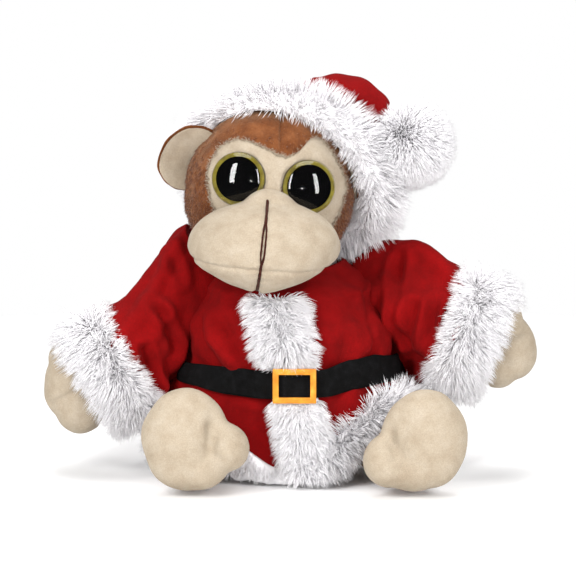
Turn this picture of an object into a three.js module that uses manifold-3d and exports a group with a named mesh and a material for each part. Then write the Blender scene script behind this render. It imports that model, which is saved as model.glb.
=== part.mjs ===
// Soft plush monkey sitting in a red coat and a red hat, both trimmed with white fur.
// Millimetres, +Z up, the face looks along -Y, the origin is the middle of the flat seat.
// "left" and "right" are the monkey's own: its left hand is on the +X side.
import * as THREE from 'three';
import { mergeVertices } from 'three/addons/utils/BufferGeometryUtils.js';
import { ConvexGeometry } from 'three/addons/geometries/ConvexGeometry.js';
import Module from 'manifold-3d';

const wasm = await Module();
wasm.setup();

// ---- driving dimensions -------------------------------------------------------------------

const GAP = 0.35;                       // clearance between neighbouring pieces
const SWEEP_GAP = 2.2;                  // clearance left round a piece that swings
const HAT_GAP = 1.7;                    // clearance between the head and the loose hat
const ROOM_FACETS = 80;                 // directions that shape the room of a swinging piece
const point = (x, y, z) => new THREE.Vector3(x, y, z);

const SEAT = { radiusX: 27, radiusY: 23, thickness: 2.2 };
const TORSO = { centre: point(0, 2, 40), radii: point(37, 31, 58), top: 91.5 };
const BEAN_BAG = { centre: point(0, 12, 13.5), radii: point(14, 11, 9.5) };
const NECK = point(-6, 0, 92);          // the head turns about the vertical through here

const HEAD = { centre: point(-10, -8, 131), radii: point(39.5, 36, 40), roll: 7.5 };
const MUZZLE = { centre: point(-12, -50, 112.5), radii: point(35.5, 29, 22) };
const MUZZLE_PEAK = { centre: point(-10, -46, 128), radii: point(13, 10, 11) };
const CHIN_SEAM = { centre: point(-12, -60, 105), slope: 4.5 };
const EYE = { radius: 12.6, dome: 6, shankRadius: 2.6, shankLength: 11, washerRadius: 7 };
const EYE_PLACES = {
  right: { centre: point(-24, -39.5, 142.5), turn: -12, tip: 8 },
  left: { centre: point(8.5, -38.5, 138.5), turn: 14, tip: 8 },
};
const EAR = { centre: point(-50, -3, 146.5), radii: point(15, 4.6, 16.5), roll: 26, swing: [-3, 30] };
const PRESSED_EAR = { centre: point(29, 2, 140), radius: 15, thickness: 3 };

const BRIM = { centre: point(-5, 6, 128.5), radiusX: 44, rise: 44.5, fall: 27, tube: 9.5, behindEar: 14 };
const HAT_TIP = [
  { at: point(2, 16, 158), radius: 25 },
  { at: point(20, 12, 168), radius: 17 },
  { at: point(33, 7, 170), radius: 11.5 },
  { at: point(42, 4, 164), radius: 8 },
];
const HAT_THICKNESS = 6.5;
const HAT_LIFT = { direction: point(0, 0.94, 0.342), travel: 80 };
const POMPOM = { centre: point(60, 1, 154), radius: 20.5 };
const POMPOM_TIE = { at: point(44.2, 3.4, 162.4), radius: 3, thickness: 1.6 };
const POMPOM_AXIS = point(0, 1, 0);
const POMPOM_SWING = [-15, 20];

const WAIST_HEIGHT = 47;
const SIDE_SEAM_Y = 11;
const BELT = { width: 12, thickness: 1.5, overTrim: 3.2 };
const BUCKLE = { width: 20.5, height: 16, bar: 3, thickness: 2, x: 2 };
const TRIM = { halfWidth: 14, thick: 8, thin: 2.4, topX: -7, bottomX: 9, top: 87, bottom: 9 };
const HEM = { tube: 6.3, halfWidth: 57, front: 62, back: 46, overThigh: 27 };

const HEAD_TURN = [-12, 12];
const ARMS = {
  right: {
    side: -1, pivot: point(-43, 5, 83), cuff: point(-84, -20, 50), hand: point(-103, -22, 39),
    droop: 33, handHalf: point(14, 14, 22), range: [0, 50],
  },
  left: {
    side: 1, pivot: point(38, 4, 79), cuff: point(84, -20, 67), hand: point(102, -22, 60),
    droop: 20, handHalf: point(14, 14, 20.5), range: [-10, 40],
  },
};
const SHOULDER_RADIUS = 17;
const SLEEVE_END = { halfHeight: 24, halfDepth: 18 };
const CUFF = { halfHeight: 27, halfDepth: 21, length: 17 };
const ARM_RADIUS = 11.5;
const LEGS = {
  right: { side: -1, hip: point(-24, -6, 15.5), foot: point(-46, -82, 26) },
  left: { side: 1, hip: point(26, -6, 15.5), foot: point(58, -84, 25.6) },
};
const LEG_RADIUS = 12.5;
const FOOT = { radii: point(24.5, 13, 25), toe: 9 };
const LEG_SWING = [-9, 9];

// ---- shape helpers ------------------------------------------------------------------------

const radians = THREE.MathUtils.degToRad;

function merged(geometry) {
  const bare = geometry.clone();
  bare.deleteAttribute('normal');
  bare.deleteAttribute('uv');
  return mergeVertices(bare, 1e-4);
}

function solidOf(geometry) {
  const bare = merged(geometry);
  const vertProperties = new Float32Array(bare.attributes.position.array);
  const triVerts = new Uint32Array(bare.index.array);
  return new wasm.Manifold(new wasm.Mesh({ numProp: 3, vertProperties, triVerts }));
}

function geometryOf(solid) {
  const mesh = solid.getMesh();
  const geometry = new THREE.BufferGeometry();
  geometry.setAttribute('position', new THREE.BufferAttribute(new Float32Array(mesh.vertProperties), 3));
  geometry.setIndex(new THREE.BufferAttribute(new Uint32Array(mesh.triVerts), 1));
  return geometry;
}

// The same shape with every point pushed out along its normal.
function grown(geometry, amount) {
  const bare = merged(geometry);
  bare.computeVertexNormals();
  const places = bare.attributes.position;
  const normals = bare.attributes.normal;
  for (let i = 0; i < places.count; i++) {
    places.setXYZ(i, places.getX(i) + normals.getX(i) * amount,
      places.getY(i) + normals.getY(i) * amount,
      places.getZ(i) + normals.getZ(i) * amount);
  }
  return bare;
}

// A rounded lump: a unit sphere with its poles on Z, shaped point by point.
function lump(columns, rows, shape) {
  const geometry = new THREE.SphereGeometry(1, columns, rows).rotateX(Math.PI / 2);
  const places = geometry.attributes.position;
  const place = new THREE.Vector3();
  for (let i = 0; i < places.count; i++) {
    shape(place.fromBufferAttribute(places, i));
    places.setXYZ(i, place.x, place.y, place.z);
  }
  return facingOut(merged(geometry));
}

function ellipsoid({ centre, radii }, columns = 20, rows = 12) {
  return lump(columns, rows, (p) => p.multiply(radii).add(centre));
}

// Joins rings of points into one closed skin; "closed" joins the last ring to the first.
function skin(rings, closed = false) {
  const sides = rings[0].length;
  const places = rings.flat();
  const index = [];
  const steps = closed ? rings.length : rings.length - 1;
  for (let r = 0; r < steps; r++) {
    const next = (r + 1) % rings.length;
    for (let i = 0; i < sides; i++) {
      const j = (i + 1) % sides;
      index.push(r * sides + i, r * sides + j, next * sides + j);
      index.push(r * sides + i, next * sides + j, next * sides + i);
    }
  }
  if (!closed) {
    for (const [ring, flip] of [[0, true], [rings.length - 1, false]]) {
      const middle = rings[ring].reduce((sum, p) => sum.add(p), point(0, 0, 0)).divideScalar(sides);
      places.push(middle);
      for (let i = 0; i < sides; i++) {
        const a = ring * sides + i;
        const b = ring * sides + ((i + 1) % sides);
        index.push(...(flip ? [b, a, places.length - 1] : [a, b, places.length - 1]));
      }
    }
  }
  const geometry = new THREE.BufferGeometry().setFromPoints(places);
  geometry.setIndex(index);
  return facingOut(geometry);
}

function facingOut(geometry) {
  const places = geometry.attributes.position;
  const index = geometry.index.array;
  const [a, b, c] = [point(0, 0, 0), point(0, 0, 0), point(0, 0, 0)];
  let volume = 0;
  for (let i = 0; i < index.length; i += 3) {
    a.fromBufferAttribute(places, index[i]);
    b.fromBufferAttribute(places, index[i + 1]);
    c.fromBufferAttribute(places, index[i + 2]);
    volume += a.dot(b.cross(c));
  }
  if (volume < 0) {
    for (let i = 0; i < index.length; i += 3) {
      [index[i], index[i + 1]] = [index[i + 1], index[i]];
    }
  }
  return geometry;
}

// A ring of points: an ellipse with two half axes given as vectors.
function ellipseRing(centre, halfA, halfB, sides) {
  const ring = [];
  for (let i = 0; i < sides; i++) {
    const turn = (2 * Math.PI * i) / sides;
    ring.push(centre.clone().addScaledVector(halfA, Math.cos(turn)).addScaledVector(halfB, Math.sin(turn)));
  }
  return ring;
}

function box(centre, size, spin = [0, 0, 0]) {
  const geometry = new THREE.BoxGeometry(size.x, size.y, size.z);
  geometry.applyMatrix4(new THREE.Matrix4().makeRotationFromEuler(
    new THREE.Euler(...spin.map(radians), 'ZYX')));
  return geometry.translate(centre.x, centre.y, centre.z);
}

function pointsOf(geometry) {
  const places = merged(geometry).attributes.position;
  const list = [];
  for (let i = 0; i < places.count; i++) list.push(point(0, 0, 0).fromBufferAttribute(places, i));
  return list;
}

function hull(...geometries) {
  return new ConvexGeometry(geometries.flatMap(pointsOf));
}

function turned(geometry, pivot, axis, degrees) {
  return geometry.clone().applyMatrix4(new THREE.Matrix4()
    .makeTranslation(pivot.x, pivot.y, pivot.z)
    .multiply(new THREE.Matrix4().makeRotationAxis(axis, radians(degrees)))
    .multiply(new THREE.Matrix4().makeTranslation(-pivot.x, -pivot.y, -pivot.z)));
}

function turnedSteps(geometry, pivot, axis, [low, high], step) {
  const count = Math.max(1, Math.ceil((high - low) / step));
  const list = [];
  for (let i = 0; i <= count; i++) {
    list.push(turned(geometry, pivot, axis, low + ((high - low) * i) / count));
  }
  return list;
}

// The points of a list that lie furthest out in evenly spread directions.
function outerPoints(list, directions) {
  const kept = new Set();
  const golden = Math.PI * (3 - Math.sqrt(5));
  for (let i = 0; i < directions; i++) {
    const z = 1 - (2 * i + 1) / directions;
    const flat = Math.sqrt(1 - z * z);
    const way = point(flat * Math.cos(golden * i), flat * Math.sin(golden * i), z);
    kept.add(list.reduce((best, p) => (p.dot(way) > best.dot(way) ? p : best)));
  }
  return [...kept];
}

// The convex room that a piece needs as it turns from one limit to the other.
function sweepHull(geometry, pivot, axis, range) {
  const places = turnedSteps(geometry, pivot, axis, range, 5).flatMap(pointsOf);
  return new ConvexGeometry(outerPoints(places, ROOM_FACETS));
}

function cut(geometry, ...tools) {
  let solid = solidOf(geometry);
  for (const tool of tools) solid = solid.subtract(solidOf(tool));
  return geometryOf(solid);
}

function join(geometry, ...others) {
  let solid = solidOf(geometry);
  for (const other of others) solid = solid.add(solidOf(other));
  return geometryOf(solid);
}

function common(geometry, ...others) {
  let solid = solidOf(geometry);
  for (const other of others) solid = solid.intersect(solidOf(other));
  return geometryOf(solid);
}

// A smooth value between rows of [height, ...values].
function smoothRows(rows, height) {
  let k = 0;
  while (k < rows.length - 2 && height > rows[k + 1][0]) k++;
  const t = THREE.MathUtils.smoothstep(height, rows[k][0], rows[k + 1][0]);
  return rows[k].slice(1).map((value, i) => value + (rows[k + 1][i + 1] - value) * t);
}

// A prism along Y from an outline drawn in X and Z.
function prismY(outline, fromY, toY) {
  const shape = new THREE.Shape(outline.map(([x, z]) => new THREE.Vector2(x, z)));
  const geometry = new THREE.ExtrudeGeometry(shape, { depth: toY - fromY, bevelEnabled: false });
  return geometry.rotateX(Math.PI / 2).translate(0, toY, 0);
}

// ---- the group and its materials ----------------------------------------------------------

const monkey = new THREE.Group();
const finishes = {
  brown: { color: 0x7a3f1d, roughness: 0.95, metalness: 0 },
  beige: { color: 0xe4d3b8, roughness: 0.95, metalness: 0 },
  red: { color: 0xa01016, roughness: 0.9, metalness: 0 },
  fur: { color: 0xf0eef2, roughness: 1, metalness: 0 },
  black: { color: 0x111111, roughness: 0.9, metalness: 0 },
  thread: { color: 0x2c120a, roughness: 0.9, metalness: 0 },
  gold: { color: 0xe89a1c, roughness: 0.4, metalness: 0.3 },
  lens: { color: 0x111111, roughness: 0.05, metalness: 0 },
  iris: { color: 0xa8992a, roughness: 0.4, metalness: 0 },
  nylon: { color: 0xe8e8e4, roughness: 0.6, metalness: 0 },
  canvas: { color: 0xcfc4ae, roughness: 0.95, metalness: 0 },
};

function add(name, geometry, finish) {
  const mesh = new THREE.Mesh(geometry, new THREE.MeshStandardMaterial(finishes[finish]));
  mesh.name = name;
  monkey.add(mesh);
}

const UP = point(0, 0, 1);

// ---- arms, sleeves and cuffs --------------------------------------------------------------

function armShapes(arm) {
  const droop = radians(arm.droop);
  const outward = point(arm.side * Math.cos(droop), 0, -Math.sin(droop));
  const across = point(arm.side * Math.sin(droop), 0, Math.cos(droop));
  const depth = point(0, 1, 0);
  const ringAt = (centre, halfHeight, halfDepth, sides) => ellipseRing(
    centre, across.clone().multiplyScalar(halfHeight), depth.clone().multiplyScalar(halfDepth), sides);

  const handSpin = new THREE.Matrix4().makeBasis(outward, depth, across);
  const handGeometry = lump(14, 9, (p) => {
    p.multiply(arm.handHalf).applyMatrix4(handSpin).add(arm.hand);
  });
  const wrist = arm.cuff.clone().addScaledVector(outward, CUFF.length * 0.3);
  const shoulderBall = lump(12, 8, (p) => p.multiplyScalar(ARM_RADIUS).add(arm.pivot));
  const wristBall = lump(12, 8, (p) => p.multiplyScalar(ARM_RADIUS).add(wrist));
  const armGeometry = hull(shoulderBall, wristBall);

  const sleeveStart = lump(12, 8, (p) => p.multiplyScalar(SHOULDER_RADIUS).add(arm.pivot));
  const sleeveEnd = skin([
    ringAt(arm.cuff.clone().addScaledVector(outward, -14), SLEEVE_END.halfHeight, SLEEVE_END.halfDepth, 14),
    ringAt(arm.cuff.clone().addScaledVector(outward, -CUFF.length / 2 - GAP),
      SLEEVE_END.halfHeight, SLEEVE_END.halfDepth, 14),
  ]);
  const sleeveGeometry = hull(sleeveStart, sleeveEnd);
  const cuffRings = [-0.5, -0.25, 0.25, 0.5].map((along) => {
    const round = Math.sqrt(1 - (1.5 * along) ** 2);
    return ringAt(arm.cuff.clone().addScaledVector(outward, along * CUFF.length),
      CUFF.halfHeight - 4 * (1 - round), CUFF.halfDepth - 4 * (1 - round), 16);
  });
  return { arm: armGeometry, hand: handGeometry, sleeve: sleeveGeometry, cuff: skin(cuffRings) };
}

const armRoom = [];
const armAxis = (arm) => point(0, -arm.side, 0);
for (const [side, arm] of Object.entries(ARMS)) {
  const shapes = armShapes(arm);
  const hand = cut(shapes.hand, grown(shapes.arm, GAP));
  const inner = [grown(shapes.arm, GAP), grown(shapes.hand, GAP)];
  add(`arm_${side}`, shapes.arm, 'brown');
  add(`hand_${side}`, hand, 'beige');
  add(`sleeve_${side}`, cut(shapes.sleeve, ...inner), 'red');
  add(`cuff_${side}`, cut(shapes.cuff, ...inner), 'fur');
  const moving = hull(grown(shapes.sleeve, SWEEP_GAP), grown(shapes.cuff, SWEEP_GAP));
  armRoom.push(sweepHull(moving, arm.pivot, armAxis(arm), arm.range));
}

// ---- legs and feet ------------------------------------------------------------------------

const legRoom = [];
for (const [side, leg] of Object.entries(LEGS)) {
  const foot = lump(16, 10, (p) => {
    const toe = Math.max(0, -p.x * leg.side) * Math.max(0, 1 - Math.abs(p.z - 0.1) * 2.2);
    p.multiply(FOOT.radii);
    p.x -= leg.side * toe * 3;
    p.y -= toe * FOOT.toe * 0.4;
    p.add(leg.foot);
  });
  const hipBall = lump(12, 8, (p) => p.multiplyScalar(LEG_RADIUS).add(leg.hip));
  const ankle = leg.foot.clone().add(point(-leg.side * 2, 12, -11));
  const ankleBall = lump(12, 8, (p) => p.multiplyScalar(LEG_RADIUS - 1.5).add(ankle));
  const legGeometry = hull(hipBall, ankleBall);
  add(`leg_${side}`, cut(legGeometry, grown(foot, GAP)), 'brown');
  add(`foot_${side}`, foot, 'beige');
  legRoom.push(sweepHull(grown(legGeometry, SWEEP_GAP), leg.hip, UP, LEG_SWING));
  legRoom.push(sweepHull(grown(foot, SWEEP_GAP), leg.hip, UP, LEG_SWING));
}

// ---- head, face and ears ------------------------------------------------------------------

const headBall = ellipsoid(HEAD, 18, 12);
const neckCut = box(point(-6, 0, 92 - 30 + 0.2), point(120, 120, 60));
const headRoll = point(0, 1, 0);

function eyeShapes(eye) {
  const place = new THREE.Matrix4().makeTranslation(eye.centre.x, eye.centre.y, eye.centre.z)
    .multiply(new THREE.Matrix4().makeRotationZ(radians(eye.turn)))
    .multiply(new THREE.Matrix4().makeRotationX(radians(-eye.tip)));
  const lathe = (profile, sides) => new THREE.LatheGeometry(
    profile.map(([r, h]) => new THREE.Vector2(r, h)), sides).rotateX(Math.PI).applyMatrix4(place);
  const dome = [[0, 0]];
  dome.push([EYE.radius, 0], [EYE.radius, 0.8]);
  for (let step = 1; step <= 4; step++) {
    const turn = (step / 4) * (Math.PI / 2);
    dome.push([step === 4 ? 0 : EYE.radius * Math.cos(turn), 0.8 + EYE.dome * Math.sin(turn)]);
  }
  const backed = [[0, -EYE.shankLength], [EYE.shankRadius, -EYE.shankLength], [EYE.shankRadius, -1.8]];
  backed.push([EYE.radius, -1.8], [EYE.radius, -GAP], [0, -GAP]);
  const washerFrom = -EYE.shankLength + 1.5;
  const inner = EYE.shankRadius + GAP;
  const washer = [[inner, washerFrom], [EYE.washerRadius, washerFrom], [EYE.washerRadius, washerFrom + 1.6]];
  washer.push([inner, washerFrom + 1.6], [inner, washerFrom]);
  const room = [[0, -EYE.shankLength - GAP]];
  room.push([EYE.washerRadius + GAP, -EYE.shankLength - GAP], [EYE.washerRadius + GAP, washerFrom + 2]);
  room.push([EYE.shankRadius + GAP, washerFrom + 2], [EYE.shankRadius + GAP, -1.8 - GAP]);
  room.push([EYE.radius + GAP, -1.8 - GAP]);
  room.push(...dome.slice(2).map(([r, h]) => [r && r + GAP, h + GAP]));
  return { lens: lathe(dome, 18), iris: lathe(backed, 18), washer: lathe(washer, 12), room: lathe(room, 18) };
}

const eyes = Object.fromEntries(Object.entries(EYE_PLACES).map(([side, eye]) => [side, eyeShapes(eye)]));
const eyeRoom = Object.values(eyes).map((eye) => facingOut(merged(eye.room)));

const muzzleWhole = join(
  lump(20, 12, (p) => {
    const side = Math.abs(p.x);
    const lower = Math.max(0, -p.z);
    p.x *= MUZZLE.radii.x * (1 - 0.28 * lower ** 2);
    p.z *= MUZZLE.radii.z * (1 - 0.08 * side);
    p.y *= MUZZLE.radii.y;
    p.add(MUZZLE.centre);
  }),
  ellipsoid(MUZZLE_PEAK, 16, 10));
const headSkin = grown(headBall, GAP);
const chinTool = box(CHIN_SEAM.centre.clone().add(point(0, 0, -40)), point(140, 140, 80),
  [0, CHIN_SEAM.slope, 0]);
const chinToolLow = box(CHIN_SEAM.centre.clone().add(point(0, 0, -40 - GAP)), point(140, 140, 80),
  [0, CHIN_SEAM.slope, 0]);

// Beige patch round the eyes: a thin shell over the head inside a two-lobed outline.
const PATCH = { outer: 1.7, lobes: 32, height: 29, dip: 9, centreX: -9, centreZ: 131 };
function patchOutline() {
  const outline = [];
  const steps = 28;
  for (let i = 0; i < steps; i++) {
    const turn = (2 * Math.PI * i) / steps;
    const dip = PATCH.dip * Math.exp(-(((turn - Math.PI / 2) / 0.35) ** 2));
    const x = PATCH.lobes * Math.cos(turn);
    const z = (turn < Math.PI ? PATCH.height : 22) * Math.sin(turn) - dip;
    const roll = radians(-HEAD.roll);
    outline.push([PATCH.centreX + x * Math.cos(roll) - z * Math.sin(roll),
      PATCH.centreZ + x * Math.sin(roll) + z * Math.cos(roll)]);
  }
  return outline;
}
const patchShell = cut(grown(headBall, PATCH.outer), headSkin);
const facePatch = cut(common(patchShell, prismY(patchOutline(), -90, -8)), ...eyeRoom);
const patchRoom = common(grown(headBall, PATCH.outer + GAP), prismY(patchOutline(), -90, -8));

const muzzle = cut(muzzleWhole, headSkin, patchRoom, ...eyeRoom);
add('head', cut(headBall, neckCut, ...eyeRoom), 'brown');
add('face_patch', cut(facePatch, neckCut), 'beige');
add('muzzle_upper', cut(muzzle, chinTool), 'beige');
add('muzzle_chin', common(muzzle, chinToolLow), 'beige');

// Embroidered line down the middle of the muzzle, standing on its surface.
const stitchBand = cut(grown(muzzleWhole, 1.1), grown(muzzleWhole, GAP));
const stitchOutline = [[-11.3, 128], [-9.9, 128], [-12.6, 111], [-15.4, 94], [-16.8, 94], [-14, 111]];
add('mouth_stitch', common(stitchBand, prismY(stitchOutline, -95, -62)), 'thread');

for (const [side, eye] of Object.entries(eyes)) {
  add(`eye_lens_${side}`, facingOut(merged(eye.lens)), 'lens');
  add(`eye_iris_${side}`, facingOut(merged(eye.iris)), 'iris');
  add(`eye_washer_${side}`, facingOut(merged(eye.washer)), 'nylon');
}

// The right ear stands out in front of the hat; the left one is pressed flat under it.
const earAxis = point(Math.sin(radians(EAR.roll)), 0, Math.cos(radians(EAR.roll)));
const earRoot = EAR.centre.clone().add(point(11, 0, -3));
const earWhole = lump(16, 10, (p) => {
  p.multiply(EAR.radii);
  p.applyAxisAngle(headRoll, radians(EAR.roll)).add(EAR.centre);
});
const headForEar = turnedSteps(grown(headBall, HAT_GAP), earRoot, earAxis, [-EAR.swing[1], -EAR.swing[0]], 12);
const earBody = cut(earWhole, ...headForEar);
const behindEar = box(EAR.centre.clone().add(point(0, 25, 0)), point(60, 50, 60));
const beforeEar = box(EAR.centre.clone().add(point(0, -25 - GAP, 0)), point(60, 50, 60));
add('ear_back_right', common(earBody, behindEar), 'brown');
add('ear_lining_right', common(earBody, beforeEar), 'beige');

const earDisc = new THREE.CylinderGeometry(PRESSED_EAR.radius, PRESSED_EAR.radius, 40, 24)
  .rotateZ(Math.PI / 2).translate(PRESSED_EAR.centre.x, PRESSED_EAR.centre.y, PRESSED_EAR.centre.z);
const halfEar = PRESSED_EAR.thickness / 2;
const pressedBack = common(cut(grown(headBall, PRESSED_EAR.thickness + GAP), grown(headBall, halfEar + 2 * GAP)),
  earDisc);
const pressedLining = common(cut(grown(headBall, halfEar + GAP), headSkin), earDisc);
add('ear_back_left', pressedBack, 'brown');
add('ear_lining_left', pressedLining, 'beige');

// ---- hat and pompom -----------------------------------------------------------------------

// The brim frames the head; beside the ear it is pushed back behind it.
function brimPlace(turn) {
  const nearEar = Math.exp(-(((turn - radians(155)) / radians(28)) ** 2));
  return point(BRIM.centre.x + BRIM.radiusX * Math.cos(turn),
    BRIM.centre.y - 8 * Math.cos(turn) - 15 * Math.sin(turn) + BRIM.behindEar * nearEar,
    BRIM.centre.z + (turn < Math.PI ? BRIM.rise : BRIM.fall) * Math.sin(turn));
}

function brimRings(tube, sides, steps) {
  const rings = [];
  for (let i = 0; i < steps; i++) {
    const turn = (2 * Math.PI * i) / steps;
    const out = point(Math.cos(turn), 0, Math.sin(turn));
    const size = tube + 1.5 * Math.cos(turn + 0.5);
    rings.push(ellipseRing(brimPlace(turn), out.multiplyScalar(size), point(0, size, 0), sides));
  }
  return rings;
}

// Everything in front of the brim's middle line, out to well past its edge.
function beforeBrim(steps) {
  const fronts = [];
  const backs = [];
  for (let i = 0; i < steps; i++) {
    const turn = (2 * Math.PI * i) / steps;
    const edge = brimPlace(turn).add(point(30 * Math.cos(turn), 0, 30 * Math.sin(turn)));
    backs.push(edge);
    fronts.push(edge.clone().add(point(0, -60, 0)));
  }
  return skin([fronts, backs]);
}

const liftBack = HAT_LIFT.direction.clone().normalize().multiplyScalar(-HAT_LIFT.travel);
const headRoom = grown(headBall, HAT_GAP);
const pressedRoom = grown(pressedBack, HAT_GAP);
const headInHat = [headRoom, pressedRoom].flatMap(pointsOf);
const hatRoom = new ConvexGeometry(outerPoints(
  [...headInHat, ...headInHat.map((p) => p.clone().add(liftBack))], 2 * ROOM_FACETS));
const brimWhole = skin(brimRings(BRIM.tube, 7, 24), true);
const ballAt = ({ at, radius }) => ellipsoid({ centre: at, radii: point(radius, radius, radius) }, 12, 8);
let crown = grown(headBall, HAT_THICKNESS);
for (let i = 0; i < HAT_TIP.length - 1; i++) {
  crown = join(crown, hull(ballAt(HAT_TIP[i]), ballAt(HAT_TIP[i + 1])));
}

// The pompom hangs on a thread tied through the end of the crown.
const pompomBall = ellipsoid({
  centre: POMPOM.centre,
  radii: point(POMPOM.radius, POMPOM.radius, POMPOM.radius),
}, 16, 10);
const pompomRoom = sweepHull(grown(pompomBall, SWEEP_GAP), POMPOM_TIE.at, POMPOM_AXIS, POMPOM_SWING);
const tie = new THREE.SphereGeometry(POMPOM_TIE.radius, 8, 6)
  .translate(POMPOM_TIE.at.x, POMPOM_TIE.at.y, POMPOM_TIE.at.z);
const tieRoom = grown(tie, GAP);
const belowBrim = box(point(0, 0, BRIM.centre.z - BRIM.fall - 40), point(200, 200, 80));
crown = cut(crown, hatRoom, grown(brimWhole, GAP), beforeBrim(20), belowBrim, pompomRoom, tieRoom);
add('hat_crown', crown, 'red');
add('hat_brim', cut(brimWhole, hatRoom, pompomRoom, tieRoom), 'fur');
add('pompom', cut(pompomBall, tieRoom), 'fur');
add('pompom_tie', tie, 'thread');

// ---- torso and seat -----------------------------------------------------------------------

const bodyWhole = ellipsoid(TORSO, 18, 12);
const aboveSeat = box(point(0, 0, SEAT.thickness + GAP + 60), point(140, 140, 120));
const belowNeck = box(point(0, 0, TORSO.top - 60), point(140, 140, 120));
const beanPocket = join(
  ellipsoid({ centre: BEAN_BAG.centre, radii: BEAN_BAG.radii.clone().addScalar(GAP) }, 14, 8),
  new THREE.CylinderGeometry(9, 9, 12, 20).rotateX(Math.PI / 2)
    .translate(BEAN_BAG.centre.x, BEAN_BAG.centre.y, 6));
const seatRing = (height, spare = 0) => ellipseRing(point(0, 2, height),
  point(SEAT.radiusX + spare, 0, 0), point(0, SEAT.radiusY + spare, 0), 32);
add('torso', common(cut(bodyWhole, beanPocket, ...armRoom, ...legRoom), aboveSeat, belowNeck), 'brown');
add('bean_bag', ellipsoid(BEAN_BAG, 14, 8), 'canvas');
add('seat_panel', skin([seatRing(0), seatRing(SEAT.thickness)]), 'brown');

// ---- coat ---------------------------------------------------------------------------------

// Half width, front depth and back depth of the coat at each height.
const COAT_ROWS = [
  [0.8, 55, 59, 43],
  [20, 53, 60, 43],
  [WAIST_HEIGHT, 43.5, 57, 40],
  [66, 47, 56, 41],
  [86, 42, 45, 38],
  [100, 24, 26, 24],
];
const COAT_SIDES = 28;

function coatPlace(turn, height, offset = 0) {
  const [halfWidth, front, back] = smoothRows(COAT_ROWS, height);
  const deep = (Math.sin(turn) < 0 ? front : back) + offset;
  return point((halfWidth + offset) * Math.cos(turn), deep * Math.sin(turn), height);
}

function coatRing(height, offset = 0) {
  const ring = [];
  for (let i = 0; i < COAT_SIDES; i++) {
    ring.push(coatPlace((2 * Math.PI * i) / COAT_SIDES, height, offset));
  }
  return ring;
}

const beltLow = WAIST_HEIGHT - BELT.width / 2;
const beltHigh = WAIST_HEIGHT + BELT.width / 2;
const coatHeights = [0.8, 20, beltLow, WAIST_HEIGHT, beltHigh, 66, 78, 90, 100];
const coatWhole = skin(coatHeights.map((height) => coatRing(height)));

// Room that the turning head, muzzle and hat take out of the coat.
const muzzleRoom = sweepHull(grown(muzzleWhole, SWEEP_GAP), NECK, UP, HEAD_TURN);
const brimFat = skin(brimRings(BRIM.tube + 2.4, 7, 18), true);
const brimRoom = [0, 7, 15].flatMap((lift) => {
  const away = HAT_LIFT.direction.clone().normalize().multiplyScalar(lift);
  return turnedSteps(brimFat.clone().translate(away.x, away.y, away.z), NECK, UP, HEAD_TURN, 12);
});
const headTurning = [sweepHull(grown(headBall, SWEEP_GAP), NECK, UP, HEAD_TURN), muzzleRoom, ...brimRoom];
const seatInside = skin([seatRing(-5, GAP), seatRing(SEAT.thickness + GAP, GAP)]);
const neckRing = (height) => ellipseRing(point(0, 2, height), point(21, 0, 0), point(0, 19, 0), 20);
const coatInside = [grown(bodyWhole, GAP), seatInside, skin([neckRing(80), neckRing(120)])];
const coatCut = cut(coatWhole, ...coatInside, ...armRoom, ...legRoom, ...headTurning);

function trimMiddle(height) {
  const along = (height - TRIM.bottom) / (TRIM.top - TRIM.bottom);
  return TRIM.bottomX + (TRIM.topX - TRIM.bottomX) * along;
}

// The front edge opens along the slanted middle of the fur strip.
const edgeAt = (height, shift) => [trimMiddle(height) + shift, height];
const leftSide = prismY([edgeAt(-20, 0), [120, -20], [120, 140], edgeAt(140, 0)], -120, SIDE_SEAM_Y);
const rightSide = prismY([[-120, -20], edgeAt(-20, -GAP), edgeAt(140, -GAP), [-120, 140]], -120, SIDE_SEAM_Y);
const backSide = box(point(0, SIDE_SEAM_Y + GAP + 60, 60), point(240, 120, 200));
add('coat_front_left', common(coatCut, leftSide), 'red');
add('coat_front_right', common(coatCut, rightSide), 'red');
add('coat_back', common(coatCut, backSide), 'red');

// The fur strip down the front edge, pressed thin where the belt crosses it.
function trimStrip() {
  const rings = [];
  const steps = 14;
  const across = 5;
  for (let k = 0; k <= steps; k++) {
    const height = TRIM.bottom + ((TRIM.top - TRIM.bottom) * k) / steps;
    const nearBelt = Math.abs(height - WAIST_HEIGHT) / (BELT.width / 2 + 3);
    const pressed = THREE.MathUtils.smoothstep(nearBelt, 1, 1.8);
    const thick = TRIM.thin + (TRIM.thick - TRIM.thin) * pressed;
    const [halfWidth] = smoothRows(COAT_ROWS, height);
    const reach = TRIM.halfWidth / halfWidth;
    const middle = -Math.PI / 2 + trimMiddle(height) / halfWidth;
    const inner = [];
    const outer = [];
    for (let j = 0; j <= across; j++) {
      const turn = middle + reach * ((2 * j) / across - 1);
      const rounded = 0.35 + 0.65 * Math.sin((Math.PI * (j + 0.35)) / (across + 0.7));
      inner.push(coatPlace(turn, height, 0.9));
      outer.push(coatPlace(turn, height, 0.9 + thick * rounded));
    }
    rings.push([...inner, ...outer.reverse()]);
  }
  return skin(rings);
}

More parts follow.
